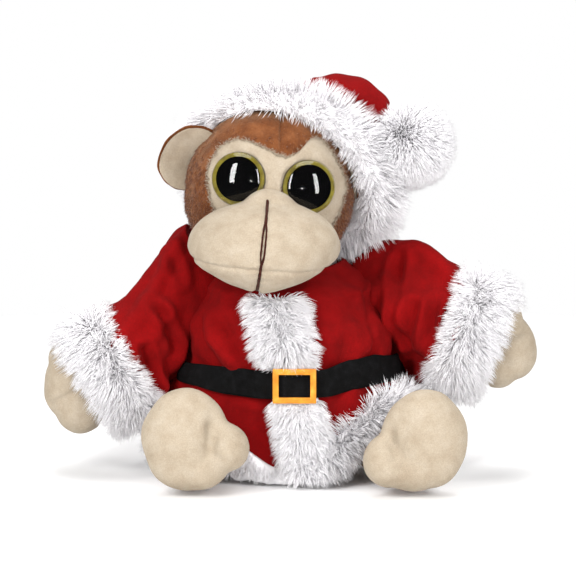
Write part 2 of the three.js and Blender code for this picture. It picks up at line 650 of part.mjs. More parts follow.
// The fur strip round the hem, riding up over both thighs.
function hemStrip() {
  const rings = [];
  const steps = 32;
  for (let i = 0; i < steps; i++) {
    const turn = (2 * Math.PI * i) / steps;
    const front = Math.max(0, -Math.sin(turn));
    const overThigh = THREE.MathUtils.smoothstep(Math.abs(Math.cos(turn) - 0.05), 0.1, 0.36)
      * THREE.MathUtils.smoothstep(front, 0.02, 0.4);
    const height = HEM.tube + 1.6 + HEM.overThigh * overThigh;
    const deep = Math.sin(turn) < 0 ? HEM.front : HEM.back;
    const centre = point(HEM.halfWidth * Math.cos(turn), deep * Math.sin(turn), height);
    const out = point(Math.cos(turn), Math.sin(turn), 0);
    rings.push(ellipseRing(centre, out.multiplyScalar(HEM.tube), point(0, 0, HEM.tube), 6));
  }
  return skin(rings, true);
}
const trimGeometry = cut(trimStrip(), muzzleRoom, ...legRoom);
const hemGeometry = cut(hemStrip(), coatWhole, ...legRoom, ...armRoom, grown(trimGeometry, GAP));
add('front_trim', trimGeometry, 'fur');
add('hem_trim', hemGeometry, 'fur');

// ---- belt and buckle ----------------------------------------------------------------------

function beltRing(height, offset) {
  const ring = [];
  const sides = 36;
  const middle = -Math.PI / 2 + trimMiddle(WAIST_HEIGHT) / COAT_ROWS[2][1];
  for (let i = 0; i < sides; i++) {
    const turn = middle + (2 * Math.PI * i) / sides;
    const away = Math.abs(((turn - middle + Math.PI) % (2 * Math.PI)) - Math.PI);
    const over = 1 - THREE.MathUtils.smoothstep(away, 0.36, 0.62);
    ring.push(coatPlace(turn, height, offset + BELT.overTrim * over));
  }
  return ring;
}
const beltOuter = skin([beltRing(beltLow, 0.9 + BELT.thickness), beltRing(beltHigh, 0.9 + BELT.thickness)]);
const beltInner = skin([beltRing(beltLow - 0.5, 0.9), beltRing(beltHigh + 0.5, 0.9)]);
const belt = cut(beltOuter, beltInner);
add('belt', belt, 'black');

const buckleFront = beltOuterFront();
function beltOuterFront() {
  const bounds = new THREE.Box3().setFromBufferAttribute(merged(beltOuter).attributes.position);
  return bounds.min.y;
}
const buckleAt = point(BUCKLE.x, buckleFront - GAP - BUCKLE.thickness / 2, WAIST_HEIGHT);
const buckleHole = point(BUCKLE.width - 2 * BUCKLE.bar, 10, BUCKLE.height - 2 * BUCKLE.bar);
add('buckle', cut(box(buckleAt, point(BUCKLE.width, BUCKLE.thickness, BUCKLE.height)),
  box(buckleAt, buckleHole)), 'gold');

export default monkey;
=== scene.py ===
import math

import bmesh
import bpy
import numpy as np
from mathutils import Matrix, Vector


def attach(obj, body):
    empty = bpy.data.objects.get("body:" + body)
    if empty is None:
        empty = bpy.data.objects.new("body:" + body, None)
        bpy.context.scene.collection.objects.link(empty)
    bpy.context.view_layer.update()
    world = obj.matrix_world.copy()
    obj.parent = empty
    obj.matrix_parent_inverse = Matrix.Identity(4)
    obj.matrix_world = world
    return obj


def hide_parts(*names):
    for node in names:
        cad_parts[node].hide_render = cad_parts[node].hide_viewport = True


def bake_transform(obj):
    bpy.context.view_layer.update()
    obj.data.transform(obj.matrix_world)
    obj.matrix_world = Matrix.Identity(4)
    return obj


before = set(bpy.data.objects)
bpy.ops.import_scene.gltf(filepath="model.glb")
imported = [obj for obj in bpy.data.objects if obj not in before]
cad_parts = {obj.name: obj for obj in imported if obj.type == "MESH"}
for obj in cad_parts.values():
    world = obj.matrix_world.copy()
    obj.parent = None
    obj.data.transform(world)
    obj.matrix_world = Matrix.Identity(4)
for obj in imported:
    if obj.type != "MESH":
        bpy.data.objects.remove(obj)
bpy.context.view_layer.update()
MM = 0.001


# ---- small helpers ----

def vec(*xyz):
    return np.array(xyz, float)


def unit(v):
    v = np.asarray(v, float)
    return v / np.maximum(np.linalg.norm(v, axis=-1, keepdims=True), 1e-9)


def smooth(x, low, high):
    t = np.clip((np.asarray(x, float) - low) / (high - low), 0, 1)
    return t * t * (3 - 2 * t)


def falloff(x, width):
    """1 where x is 0, falling off smoothly over width."""
    return np.exp(-(x / width) ** 2)


def full_turn(count):
    """Evenly spaced angles round one turn."""
    return np.arange(count) * 2 * math.pi / count


def linked(name, data):
    made = bpy.data.objects.new(name, data)
    bpy.context.scene.collection.objects.link(made)
    return made


def mesh_object(name, places, faces, materials, slots=None):
    """A new object from places in millimetres."""
    mesh = bpy.data.meshes.new(name)
    faces = [tuple(int(i) for i in face) for face in faces]
    mesh.from_pydata((np.asarray(places) * MM).tolist(), [], faces)
    for material in materials:
        mesh.materials.append(material)
    if slots is not None:
        mesh.polygons.foreach_set("material_index", np.asarray(slots, np.int32))
    mesh.polygons.foreach_set("use_smooth", np.full(len(faces), True))
    mesh.update()
    return linked(name, mesh)


def read_vectors(made, field):
    values = np.empty(len(made.data.vertices) * 3, np.float32)
    made.data.vertices.foreach_get(field, values)
    return values.reshape(-1, 3).astype(float)


def read_places(made):
    return read_vectors(made, "co") / MM


def write_places(made, places):
    made.data.vertices.foreach_set("co", (places * MM).astype(np.float32).ravel())
    made.data.update()


def push(made, amount):
    """Moves each vertex along its normal by amount(places, normals) millimetres."""
    places = read_places(made)
    normals = read_vectors(made, "normal")
    write_places(made, places + normals * amount(places, normals)[:, None])
    return made


def apply_modifiers(made):
    graph = bpy.context.evaluated_depsgraph_get()
    fresh = bpy.data.meshes.new_from_object(made.evaluated_get(graph))
    old = made.data
    made.modifiers.clear()
    made.data = fresh
    bpy.data.meshes.remove(old)
    return made


def ball(radii, centre, columns=48, rows=32, shape=None):
    """Places and faces of a rounded lump with its poles on Z."""
    places = [(0, 0, 1)]
    for row in range(1, rows):
        polar = math.pi * row / rows
        for column in range(columns):
            turn = 2 * math.pi * column / columns
            places.append((math.sin(polar) * math.cos(turn), math.sin(polar) * math.sin(turn),
                           math.cos(polar)))
    places.append((0, 0, -1))
    places = np.array(places)
    if shape is not None:
        places = shape(places)
    places = places * np.asarray(radii) + np.asarray(centre)
    faces = []
    for column in range(columns):
        after = (column + 1) % columns
        faces.append((0, 1 + column, 1 + after))
        for row in range(rows - 2):
            a = 1 + row * columns
            faces.append((a + column, a + columns + column, a + columns + after, a + after))
        a = 1 + (rows - 2) * columns
        faces.append((a + column, len(places) - 1, a + after))
    return places, faces


def tube_faces(rings, sides, closed):
    faces = []
    for r in range(rings if closed else rings - 1):
        s = (r + 1) % rings
        for i in range(sides):
            j = (i + 1) % sides
            faces.append((r * sides + i, r * sides + j, s * sides + j, s * sides + i))
    if not closed:
        faces.append(tuple(range(sides))[::-1])
        faces.append(tuple((rings - 1) * sides + i for i in range(sides)))
    return faces


def ring_points(centre, half_a, half_b, sides):
    turn = full_turn(sides)
    return np.asarray(centre) + np.cos(turn)[:, None] * half_a + np.sin(turn)[:, None] * half_b


def lofted(name, rings, materials, closed=False):
    sides = len(rings[0])
    made = mesh_object(name, np.concatenate(rings), tube_faces(len(rings), sides, closed), materials)
    outward(made)
    return made


def outward(made):
    """Turns all faces outwards."""
    work = bmesh.new()
    work.from_mesh(made.data)
    bmesh.ops.recalc_face_normals(work, faces=work.faces)
    work.to_mesh(made.data)
    work.free()
    made.data.update()


def remeshed(made, voxel, relax, shade_smooth=True):
    """One skin of voxel sized faces round everything in the object, relaxed that many times."""
    remesh = made.modifiers.new("remesh", "REMESH")
    remesh.mode = "VOXEL"
    remesh.voxel_size = voxel * MM
    remesh.use_smooth_shade = shade_smooth
    relaxed = made.modifiers.new("relax", "SMOOTH")
    relaxed.iterations = relax
    relaxed.factor = 0.6
    return apply_modifiers(made)


def merged_lumps(name, lumps, material, voxel=1.4, relax=6):
    """One smooth skin round several lumps, each (radii, centre, turn about Y in degrees)."""
    places, faces = [], []
    for radii, centre, roll in lumps:
        p, f = ball(radii, (0, 0, 0), 32, 20)
        spin = np.array(Matrix.Rotation(math.radians(roll), 3, "Y"))
        offset = sum(len(q) for q in places)
        places.append(p @ spin.T + np.asarray(centre))
        faces += [tuple(i + offset for i in face) for face in f]
    made = mesh_object(name, np.concatenate(places), faces, [material])
    return remeshed(made, voxel, relax)


def near_line(places, a, b):
    """Distance to the segment a-b, and how far along it each place lies."""
    a, b = np.asarray(a, float), np.asarray(b, float)
    along = np.clip(((places - a) @ (b - a)) / ((b - a) @ (b - a)), 0, 1)
    return np.linalg.norm(places - (a + along[:, None] * (b - a)), axis=1), along


def wave(places, size, seed, octaves=2):
    """Smooth noise from -1 to 1, with features about size millimetres across."""
    rng = np.random.default_rng(seed)
    total = np.zeros(len(places))
    weight = 1.0
    for _ in range(octaves):
        for _ in range(4):
            way = unit(rng.normal(size=3))
            total += weight * np.sin(places @ way * (2 * math.pi / size) + rng.uniform(0, 2 * math.pi))
        size *= 0.53
        weight *= 0.55
    return total / 3.2


def clip_low(made, low):
    places = read_places(made)
    places[:, 2] = np.maximum(places[:, 2], low)
    write_places(made, places)
    return made


def finish_piece(made, nodes, body):
    """Hides the CAD nodes it stands for and hangs the piece on the body it rides."""
    if nodes:
        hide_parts(*nodes)
    if body:
        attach(made, body)
    return made


# ---- materials ----

def new_material(name):
    material = bpy.data.materials.new(name)
    material.use_nodes = True
    return material, material.node_tree, material.node_tree.nodes["Principled BSDF"]


def set_inputs(node, values):
    for name, value in values.items():
        node.inputs[name].default_value = value


def noise_node(tree, scale, detail=4.0, roughness=0.6, stretch=(1, 1, 1)):
    coords = tree.nodes.new("ShaderNodeTexCoord")
    mapping = tree.nodes.new("ShaderNodeMapping")
    mapping.inputs["Scale"].default_value = stretch
    noise = tree.nodes.new("ShaderNodeTexNoise")
    set_inputs(noise, {"Scale": scale, "Detail": detail, "Roughness": roughness})
    tree.links.new(coords.outputs["Object"], mapping.inputs["Vector"])
    tree.links.new(mapping.outputs["Vector"], noise.inputs["Vector"])
    return noise


def ramp_node(tree, source, stops):
    ramp = tree.nodes.new("ShaderNodeValToRGB")
    while len(ramp.color_ramp.elements) < len(stops):
        ramp.color_ramp.elements.new(0.5)
    for element, (place, color) in zip(ramp.color_ramp.elements, stops):
        element.position = place
        element.color = (*color, 1)
    tree.links.new(source, ramp.inputs["Fac"])
    return ramp


def bump_node(tree, source, strength, distance):
    bump = tree.nodes.new("ShaderNodeBump")
    set_inputs(bump, {"Strength": strength, "Distance": distance})
    tree.links.new(source.outputs["Fac"], bump.inputs["Height"])
    return bump


def cloth_material(name, dark, middle, light, patch, pile, bump, sheen, sheen_color, stretch=(1, 1, 1)):
    """Pile cloth: brushed patches of patch metres over a nap with pile metres between tufts."""
    material, tree, shader = new_material(name)
    patches = noise_node(tree, 1 / patch, 5, 0.62, stretch)
    color = ramp_node(tree, patches.outputs["Fac"], [(0.3, dark), (0.52, middle), (0.75, light)])
    nap = noise_node(tree, 1 / pile, 3, 0.7, stretch)
    mix = tree.nodes.new("ShaderNodeMixRGB")
    mix.blend_type = "MULTIPLY"
    mix.inputs["Fac"].default_value = 0.55
    shade = ramp_node(tree, nap.outputs["Fac"], [(0.3, (0.6, 0.6, 0.6)), (0.65, (1, 1, 1))])
    tree.links.new(color.outputs["Color"], mix.inputs["Color1"])
    tree.links.new(shade.outputs["Color"], mix.inputs["Color2"])
    tree.links.new(mix.outputs["Color"], shader.inputs["Base Color"])
    set_inputs(shader, {"Roughness": 0.9, "Specular IOR Level": 0.12, "Sheen Weight": sheen,
                        "Sheen Roughness": 0.45, "Sheen Tint": (*sheen_color, 1)})
    soft = bump_node(tree, patches, 0.35, bump * 2.5)
    fine = bump_node(tree, nap, 0.6, bump)
    tree.links.new(soft.outputs["Normal"], fine.inputs["Normal"])
    tree.links.new(fine.outputs["Normal"], shader.inputs["Normal"])
    return material


def plain_material(name, color, roughness, sheen=0.0, specular=0.5):
    material, _, shader = new_material(name)
    set_inputs(shader, {"Base Color": (*color, 1), "Roughness": roughness, "Sheen Weight": sheen,
                        "Specular IOR Level": specular})
    return material


def mottled_material(name, scale, detail, noise_roughness, stops, roughness, metallic=0.0):
    material, tree, shader = new_material(name)
    mottle = noise_node(tree, scale, detail, noise_roughness)
    color = ramp_node(tree, mottle.outputs["Fac"], stops)
    tree.links.new(color.outputs["Color"], shader.inputs["Base Color"])
    set_inputs(shader, {"Roughness": roughness, "Metallic": metallic})
    return material


def clear_material(name, ior):
    material, _, shader = new_material(name)
    set_inputs(shader, {"Base Color": (1, 1, 1, 1), "Roughness": 0.02, "IOR": ior,
                        "Transmission Weight": 1.0})
    return material


def tones(name, colors, roughness, sheen, specular):
    """Three plain tones of one pile, for its strands to share."""
    return [plain_material(f"{name}_{k}", c, roughness, sheen, specular) for k, c in zip("abc", colors)]


RED_VELOUR = cloth_material(
    "red_velour_cloth", (0.15, 0.0003, 0.0006), (0.2, 0.0004, 0.0009), (0.245, 0.0008, 0.0014),
    0.014, 0.0006, 0.0003, 0.06, (1.0, 0.05, 0.05))
BROWN_PLUSH = cloth_material(
    "brown_plush_pile", (0.085, 0.022, 0.006), (0.16, 0.048, 0.013), (0.25, 0.088, 0.03),
    0.006, 0.0007, 0.0006, 0.3, (1.0, 0.75, 0.5), (1, 1, 0.5))
BEIGE_PLUSH = cloth_material(
    "beige_plush_pile", (0.345, 0.277, 0.2), (0.4, 0.332, 0.248), (0.44, 0.373, 0.29),
    0.008, 0.0006, 0.0003, 0.12, (1.0, 0.95, 0.85))
BLACK_STRAP = cloth_material(
    "black_strap_cloth", (0.002, 0.002, 0.002), (0.004, 0.004, 0.0042), (0.008, 0.008, 0.009),
    0.004, 0.0005, 0.0003, 0.0, (0.8, 0.8, 0.9))
CANVAS = cloth_material(
    "bean_bag_cloth", (0.5, 0.44, 0.34), (0.6, 0.54, 0.43), (0.68, 0.62, 0.5),
    0.005, 0.0008, 0.0002, 0.1, (1, 1, 1))
THREAD = cloth_material(
    "brown_thread", (0.02, 0.004, 0.0025), (0.042, 0.009, 0.005), (0.07, 0.018, 0.01),
    0.0012, 0.0003, 0.00012, 0.1, (1, 0.8, 0.7))
FUR_BACKING = plain_material("white_fur_backing", (0.9, 0.885, 0.9), 0.95, 0.1, specular=0.1)
PUPIL = plain_material("eye_pupil_black", (0.001, 0.001, 0.0012), 0.8, specular=0.0)
# Painted shade: a dark olive for the outer rim of the eye ring, where the rounded rim turns away from the
# light.
EYE_EDGE_PAINTED_SHADE = plain_material("eye_edge_painted_shade_olive", (0.07, 0.055, 0.006), 0.4)
NYLON = plain_material("washer_nylon", (0.8, 0.8, 0.77), 0.5)


EYE_RING = mottled_material("eye_ring_olive", 380, 3, 0.55, [
    (0.3, (0.2, 0.15, 0.003)), (0.55, (0.33, 0.26, 0.008)), (0.8, (0.42, 0.34, 0.015))], 0.35)
LENS = clear_material("eye_lens_clear", 1.45)
BUCKLE = mottled_material("buckle_orange_gold", 220, 4, 0.6, [
    (0.3, (0.62, 0.2, 0.012)), (0.6, (0.85, 0.34, 0.03)), (0.8, (0.93, 0.46, 0.08))], 0.38, 0.25)
# How wide a white hair is at its root.
WHITE_HAIR = 0.42
WHITES = ((0.92, 0.905, 0.92), (0.88, 0.86, 0.885), (0.945, 0.935, 0.945))
BROWNS = ((0.13, 0.036, 0.01), (0.21, 0.068, 0.02), (0.33, 0.125, 0.045))
BEIGES = ((0.4, 0.332, 0.248), (0.345, 0.272, 0.19), (0.455, 0.385, 0.295))


# ---- fur ----

def scatter(made, count, rng, keep=None):
    """Random places on an object's surface, with the surface normals there."""
    mesh = made.data
    mesh.calc_loop_triangles()
    corners = np.empty(len(mesh.loop_triangles) * 3, np.int32)
    mesh.loop_triangles.foreach_get("vertices", corners)
    corners = corners.reshape(-1, 3)
    places, normals = read_places(made), read_vectors(made, "normal")
    a, b, c = places[corners[:, 0]], places[corners[:, 1]], places[corners[:, 2]]
    area = np.linalg.norm(np.cross(b - a, c - a), axis=1)
    if keep is not None:
        area = area * keep((a + b + c) / 3)
    chosen = rng.choice(len(corners), size=count, p=area / area.sum())
    u, v = rng.random(count), rng.random(count)
    over = u + v > 1
    u[over], v[over] = 1 - u[over], 1 - v[over]
    w = 1 - u - v
    roots = a[chosen] * w[:, None] + b[chosen] * u[:, None] + c[chosen] * v[:, None]
    n = normals[corners[chosen]]
    n = unit(n[:, 0] * w[:, None] + n[:, 1] * u[:, None] + n[:, 2] * v[:, None])
    return roots, n


TONE_SHARES = [0.5, 0.3, 0.2]


def fur(name, roots, ways, lengths, droop, rng, materials, width=0.34, clump=0.55, clump_count=260,
        frizz=0.16, segments=3):
    """Tapered hairs: each leaves its root along ways, bends by droop, and leans to its clump's tip."""
    count = len(roots)
    ways = unit(ways + rng.normal(scale=frizz, size=(count, 3)))
    lengths = np.asarray(lengths)[:, None]
    tips = roots + ways * lengths + droop * lengths
    centres = rng.choice(count, size=min(clump_count, count), replace=False)
    nearest = np.empty(count, int)
    for start in range(0, count, 2000):
        gap = roots[start:start + 2000, None] - roots[centres][None]
        nearest[start:start + 2000] = np.argmin((gap ** 2).sum(2), axis=1)
    lead = centres[nearest]
    pull = clump * rng.uniform(0.5, 1.0, size=(count, 1))
    tips = tips * (1 - pull) + (roots + (tips[lead] - roots[lead]) * 0.55 + (tips[lead] - roots)
                                * 0.45) * pull
    middle = roots + ways * lengths * 0.55
    side = unit(np.cross(ways, rng.normal(size=(count, 3))))
    other = unit(np.cross(ways, side))
    corners = [(math.cos(t), math.sin(t)) for t in (0, 2 * math.pi / 3, 4 * math.pi / 3)]
    rings = []
    for k in range(segments):
        t = k / segments
        centre = (1 - t) ** 2 * roots + 2 * t * (1 - t) * middle + t ** 2 * tips
        thick = 0.5 * width * (1 - 0.55 * t)
        for cos, sin in corners:
            rings.append(centre + (side * cos + other * sin) * thick)
    places = np.stack(rings + [tips], axis=1).reshape(-1, 3)
    per = 3 * segments + 1
    base = (np.arange(count) * per)[:, None]
    quads = np.array([(3 * k + i, 3 * k + (i + 1) % 3, 3 * k + 3 + (i + 1) % 3, 3 * k + 3 + i)
                      for k in range(segments - 1) for i in range(3)])
    last = 3 * (segments - 1)
    ends = np.array([(last, last + 1, per - 1), (last + 1, last + 2, per - 1), (last + 2, last, per - 1),
                     (2, 1, 0)])
    quads = (base[:, :, None] + quads[None]).reshape(-1, 4)
    ends = (base[:, :, None] + ends[None]).reshape(-1, 3)
    tone = rng.choice(len(materials), size=count, p=TONE_SHARES)
    return fur_mesh(name, places, quads, ends, tone, 3 * (segments - 1), materials)


def fur_mesh(name, places, quads, ends, tone, quads_each, materials):
    mesh = bpy.data.meshes.new(name)
    mesh.vertices.add(len(places))
    mesh.vertices.foreach_set("co", (places * MM).astype(np.float32).ravel())
    loops = np.concatenate([quads.ravel(), ends.ravel()]).astype(np.int32)
    mesh.loops.add(len(loops))
    mesh.loops.foreach_set("vertex_index", loops)
    mesh.polygons.add(len(quads) + len(ends))
    starts = np.concatenate([np.arange(len(quads)) * 4, len(quads) * 4 + np.arange(len(ends)) * 3])
    mesh.polygons.foreach_set("loop_start", starts.astype(np.int32))
    slots = np.concatenate([np.repeat(tone, quads_each), np.repeat(tone, 4)])
    for material in materials:
        mesh.materials.append(material)
    mesh.polygons.foreach_set("material_index", slots.astype(np.int32))
    mesh.polygons.foreach_set("use_smooth", np.ones(len(slots), bool))
    mesh.update(calc_edges=True)
    return linked(name, mesh)


FUR_SHARE = 1.0


def hairs(count):
    return int(count * FUR_SHARE)


# ---- camera, floor and light ----

VIEW_ELEVATION = math.radians(10)
VIEW_LENS = 520.0
VIEW_TARGET = vec(-1, 0, 83.7)
# Across the frame, at the target.
VIEW_WIDTH = 273.0
SENSOR = 36


def set_camera():
    data = bpy.data.cameras.new("camera")
    data.lens = VIEW_LENS
    data.sensor_width = SENSOR
    camera = linked("camera", data)
    distance = VIEW_WIDTH * VIEW_LENS / SENSOR
    back = vec(0, -math.cos(VIEW_ELEVATION), math.sin(VIEW_ELEVATION))
    camera.location = Vector((VIEW_TARGET + back * distance) * MM)
    camera.rotation_mode = "QUATERNION"
    camera.rotation_quaternion = Vector(-back).to_track_quat("-Z", "Y")
    data.clip_start = 0.05
    data.clip_end = 20
    bpy.context.scene.camera = camera


def area_light(name, place, target, width, height, watts):
    data = bpy.data.lights.new(name, "AREA")
    data.energy = watts
    data.shape = "RECTANGLE"
    data.size = width * MM
    data.size_y = height * MM
    lamp = linked(name, data)
    lamp.location = Vector(vec(*place) * MM)
    aim = Vector(vec(*target) - vec(*place))
    lamp.rotation_mode = "QUATERNION"
    lamp.rotation_quaternion = aim.to_track_quat("-Z", "Y")


FLOOR_SIDES = 96


def ray_switch(tree, rays, kind, otherwise, then):
    """then for rays of that kind, and otherwise for the others."""
    switch = tree.nodes.new("ShaderNodeMapRange")
    set_inputs(switch, {"To Min": otherwise, "To Max": then})
    tree.links.new(rays.outputs[kind], switch.inputs["Value"])
    return switch.outputs["Result"]


def studio():
    turn = full_turn(FLOOR_SIDES)
    rim = np.stack([520 * np.cos(turn), 470 * np.sin(turn) - 60, 0 * turn], axis=1)
    white = plain_material("floor_white", (0.95, 0.95, 0.95), 0.9, specular=0.1)
    floor = mesh_object("floor", rim, [tuple(range(FLOOR_SIDES))], [white])
    floor.location.z = -0.3 * MM
    floor.visible_glossy = False
    world = bpy.data.worlds.new("studio")
    world.use_nodes = True
    tree = world.node_tree
    background = tree.nodes["Background"]
    background.inputs["Color"].default_value = (1, 1, 1, 1)
    rays = tree.nodes.new("ShaderNodeLightPath")
    product = tree.nodes.new("ShaderNodeMath")
    product.operation = "MULTIPLY"
    tree.links.new(ray_switch(tree, rays, "Is Camera Ray", 0.55, 1.0), product.inputs[0])
    tree.links.new(ray_switch(tree, rays, "Is Glossy Ray", 1.0, 0.15), product.inputs[1])
    tree.links.new(product.outputs["Value"], background.inputs["Strength"])
    bpy.context.scene.world = world
    area_light("key", (-400, -640, 400), (0, 0, 90), 130, 560, 5.6)
    area_light("fill", (460, -600, 300), (0, 0, 90), 110, 520, 3.6)
    area_light("top", (0, 60, 800), (0, 0, 60), 520, 520, 4.2)
    area_light("dash", (90, -760, 190), (-8, -45, 140), 60, 12, 0.5)
    bpy.context.scene.view_settings.view_transform = "Standard"


set_camera()
studio()


# ---- head and face ----

HEAD = vec(-10, -8, 131)
HEAD_RADII = vec(39.5, 36, 40)


def on_head(x, z, lift=0.0):
    """The point of the head's front over x and z, raised by lift."""
    radii = HEAD_RADII + lift
    dx, dz = (np.asarray(x) - HEAD[0]) / radii[0], (np.asarray(z) - HEAD[2]) / radii[2]
    return HEAD[1] - radii[1] * np.sqrt(np.clip(1 - dx ** 2 - dz ** 2, 0.0, 1))


EYES = {
    "right": (vec(-24, -39.5, 142.5), -12, 8),
    "left": (vec(8.5, -38.5, 138.5), 14, 8),
}
EYE_RADIUS = 12.6


def eye_matrix(side):
    centre, turn, tip = EYES[side]
    return Matrix.Translation(centre) @ Matrix.Rotation(math.radians(turn), 4, "Z") \
        @ Matrix.Rotation(math.radians(-tip), 4, "X")


def clear_of_eyes(places):
    """Presses plush back behind each eye, so that the eye sits in a shallow socket."""
    places = np.array(places, float)
    for side in EYES:
        spin = np.array(eye_matrix(side))
        local = (places - spin[:3, 3]) @ spin[:3, :3]
        away = np.hypot(local[:, 0], local[:, 2])
        limit = 2.1 - 3.2 * smooth(away, EYE_RADIUS - 0.8, EYE_RADIUS + 0.6)
        hit = (away < EYE_RADIUS + 1.4) & (local[:, 1] < limit) & (local[:, 1] > -9)
        local[hit, 1] = limit[hit]
        places[hit] = local[hit] @ spin[:3, :3].T + spin[:3, 3]
    return places


HEAD_SEAM_X = -4.2


def make_head():
    places, faces = ball(HEAD_RADII - 0.3, HEAD, 256, 150)
    made = mesh_object("head_plush", places, faces, [BROWN_PLUSH])

    def shape(p, n):
        crease = falloff(p[:, 0] - HEAD_SEAM_X, 0.7) + 0.35 * falloff(p[:, 0] - HEAD_SEAM_X, 4)
        crease = crease * (p[:, 1] < 5) * smooth(p[:, 2], 146, 152)
        flat = smooth(-p[:, 2], -97, -91)
        return 0.5 * wave(p, 22, 3) + 0.12 * wave(p, 3.5, 4) - 1.3 * crease - flat

    push(made, shape)
    write_places(made, clear_of_eyes(read_places(made)))
    clip_low(made, 92.2)
    finish_piece(made, ["head"], "head")
    rng = np.random.default_rng(11)
    roots, normals = scatter(made, hairs(24000), rng, lambda p: (p[:, 2] > 100) * (p[:, 1] < 8))
    ways = normals * 0.5 + vec(0, -0.1, -0.8)
    pile = fur("head_pile", roots - normals * 0.2, ways, rng.uniform(1.4, 2.6, len(roots)),
               vec(0, 0, -0.25), rng,
               tones("brown_pile", BROWNS, 0.85, 0.15, 0.2), 0.34, 0.45, 1200, 0.3, segments=1)
    finish_piece(pile, [], "head")


PATCH_MIDDLE = vec(-9.5, 0, 131)
# The patch's edge in X and Z: two lobes over the eyes and a peak of brown between them.
PATCH_CORNERS = [
    (26.5, 136), (24.5, 128.6), (21.5, 122), (17, 116), (-10, 106), (-30, 117), (-35.5, 128), (-38.2, 138),
    (-38.2, 147),
    (-33.5, 155.2), (-26, 159.6), (-19, 159.2), (-13, 156.6), (-7, 153.8), (-1, 152.3), (4, 154),
    (7, 157.4),
    (11, 160.2), (15.5, 158), (21.5, 149.5)]


def patch_edge(turn):
    """Distance from the middle of the face patch to its edge in each direction."""
    offsets = np.array(PATCH_CORNERS) - PATCH_MIDDLE[[0, 2]]
    angle = np.arctan2(offsets[:, 1], offsets[:, 0]) % (2 * math.pi)
    order = np.argsort(angle)
    return np.interp(turn, angle[order], np.hypot(*offsets.T)[order], period=2 * math.pi)


def make_face_patch():
    steps, rows = 240, 22
    rng = np.random.default_rng(5)
    turn = full_turn(steps)
    ragged = patch_edge(turn) + 0.35 * rng.normal(size=steps).clip(-1.5, 1.5)
    fronts, backs = [], []
    for row in range(rows + 1):
        share = row / rows
        x = PATCH_MIDDLE[0] + np.cos(turn) * ragged * share
        z = PATCH_MIDDLE[2] + np.sin(turn) * ragged * share
        lift = 1.5 - 1.1 * smooth(share, 0.93, 1.0)
        fronts.append(np.stack([x, on_head(x, z, lift), z], axis=1))
        backs.append(np.stack([x, on_head(x, z, -0.8), z], axis=1))
    front, back = np.concatenate(fronts[1:]), np.concatenate(backs[1:])
    places = clear_of_eyes(np.concatenate([fronts[0][:1], front, backs[0][:1], back]))
    faces = []
    ring = 1 + len(front)
    for i in range(steps):
        j = (i + 1) % steps
        faces.append((0, 1 + j, 1 + i))
        faces.append((ring, ring + 1 + i, ring + 1 + j))
        for row in range(rows - 1):
            a, b = 1 + row * steps, 1 + (row + 1) * steps
            faces.append((a + i, a + j, b + j, b + i))
            faces.append((ring + a + j, ring + a + i, ring + b + i, ring + b + j))
        a = 1 + (rows - 1) * steps
        faces.append((a + i, a + j, ring + a + j, ring + a + i))
    made = mesh_object("face_patch_plush", places, faces, [BEIGE_PLUSH])
    outward(made)
    push(made, lambda p, n: 0.25 * wave(p, 9, 8))
    finish_piece(made, ["face_patch"], "head")
    roots = np.repeat(fronts[-1], 16, axis=0)
    roots = roots + rng.normal(scale=0.55, size=roots.shape)
    roots[:, 1] = on_head(roots[:, 0], roots[:, 2], 0.5)
    normals = unit((roots - HEAD) / HEAD_RADII ** 2)
    outwards = unit((roots - vec(PATCH_MIDDLE[0], roots[:, 1].mean(), PATCH_MIDDLE[2])) * vec(1, 0, 1))
    pile = fur("face_patch_pile", roots, normals * 0.6 + outwards * 0.8, rng.uniform(0.5, 1.35, len(roots)),
               vec(0, 0, -0.15), rng,
               tones("beige_pile", BEIGES, 0.85, 0.15, 0.2), 0.3, 0.4, 700, 0.45, segments=1)
    finish_piece(pile, [], "head")


MUZZLE = vec(-12, -50, 112.5)
CHIN_SLOPE = math.tan(math.radians(-4.5))


def seam_x(z):
    """Where the muzzle's middle line runs at height z."""
    return np.interp(z, [88, 111, 137], [-16.2, -13.0, -10.2])


def chin_z(x):
    return 105 + (x - MUZZLE[0]) * CHIN_SLOPE


def make_muzzle():
    def shape(p):
        side, lower = np.abs(p[:, 0]), np.maximum(0, -p[:, 2])
        q = p.copy()
        q[:, 0] *= 1 - 0.24 * lower ** 2
        q[:, 2] *= 1 - 0.06 * side
        return q

    body, faces = ball((35.5, 29, 21.5), MUZZLE, 40, 26, shape)
    peak, more = ball((14, 12, 13), (-10, -47, 126), 24, 16)
    faces = faces + [tuple(i + len(body) for i in face) for face in more]
    made = mesh_object("muzzle_plush", np.concatenate([body, peak]), faces, [BEIGE_PLUSH])
    remeshed(made, 1.1, 14, shade_smooth=False)

    def seams(p, n):
        front = smooth(-p[:, 1], 42, 55)
        middle = falloff(p[:, 0] - seam_x(p[:, 2]), 1.6) * front
        chin = falloff(p[:, 2] - chin_z(p[:, 0]), 1.0) * smooth(-p[:, 1], 30, 45)
        puff = falloff(p[:, 2] - chin_z(p[:, 0]) - 5, 5) * 0.5
        near = falloff(p[:, 0] - seam_x(p[:, 2]), 5)
        pucker = 0.18 * near * np.sin((p[:, 2] + 0.25 * np.abs(p[:, 0] + 12)) * 2 * math.pi / 3.6)
        tucks = 0.14 * falloff(p[:, 2] - chin_z(p[:, 0]), 3.2) * np.sin(p[:, 0] * 2 * math.pi / 4.1)
        return -1.3 * middle - 1.0 * chin + puff * front + pucker * front + tucks + 0.5 * wave(p, 26,
                                                                                               21) + 0.3

    push(made, seams)
    finish_piece(made, ["muzzle_upper", "muzzle_chin"], "head")
    return made


def surface_y(made, x, z):
    """The front of an object over x and z, found by a ray along +Y."""
    hit, place, _, _ = made.ray_cast(Vector((x * MM, -0.3, z * MM)), Vector((0, 1, 0)))
    return place.y / MM if hit else None


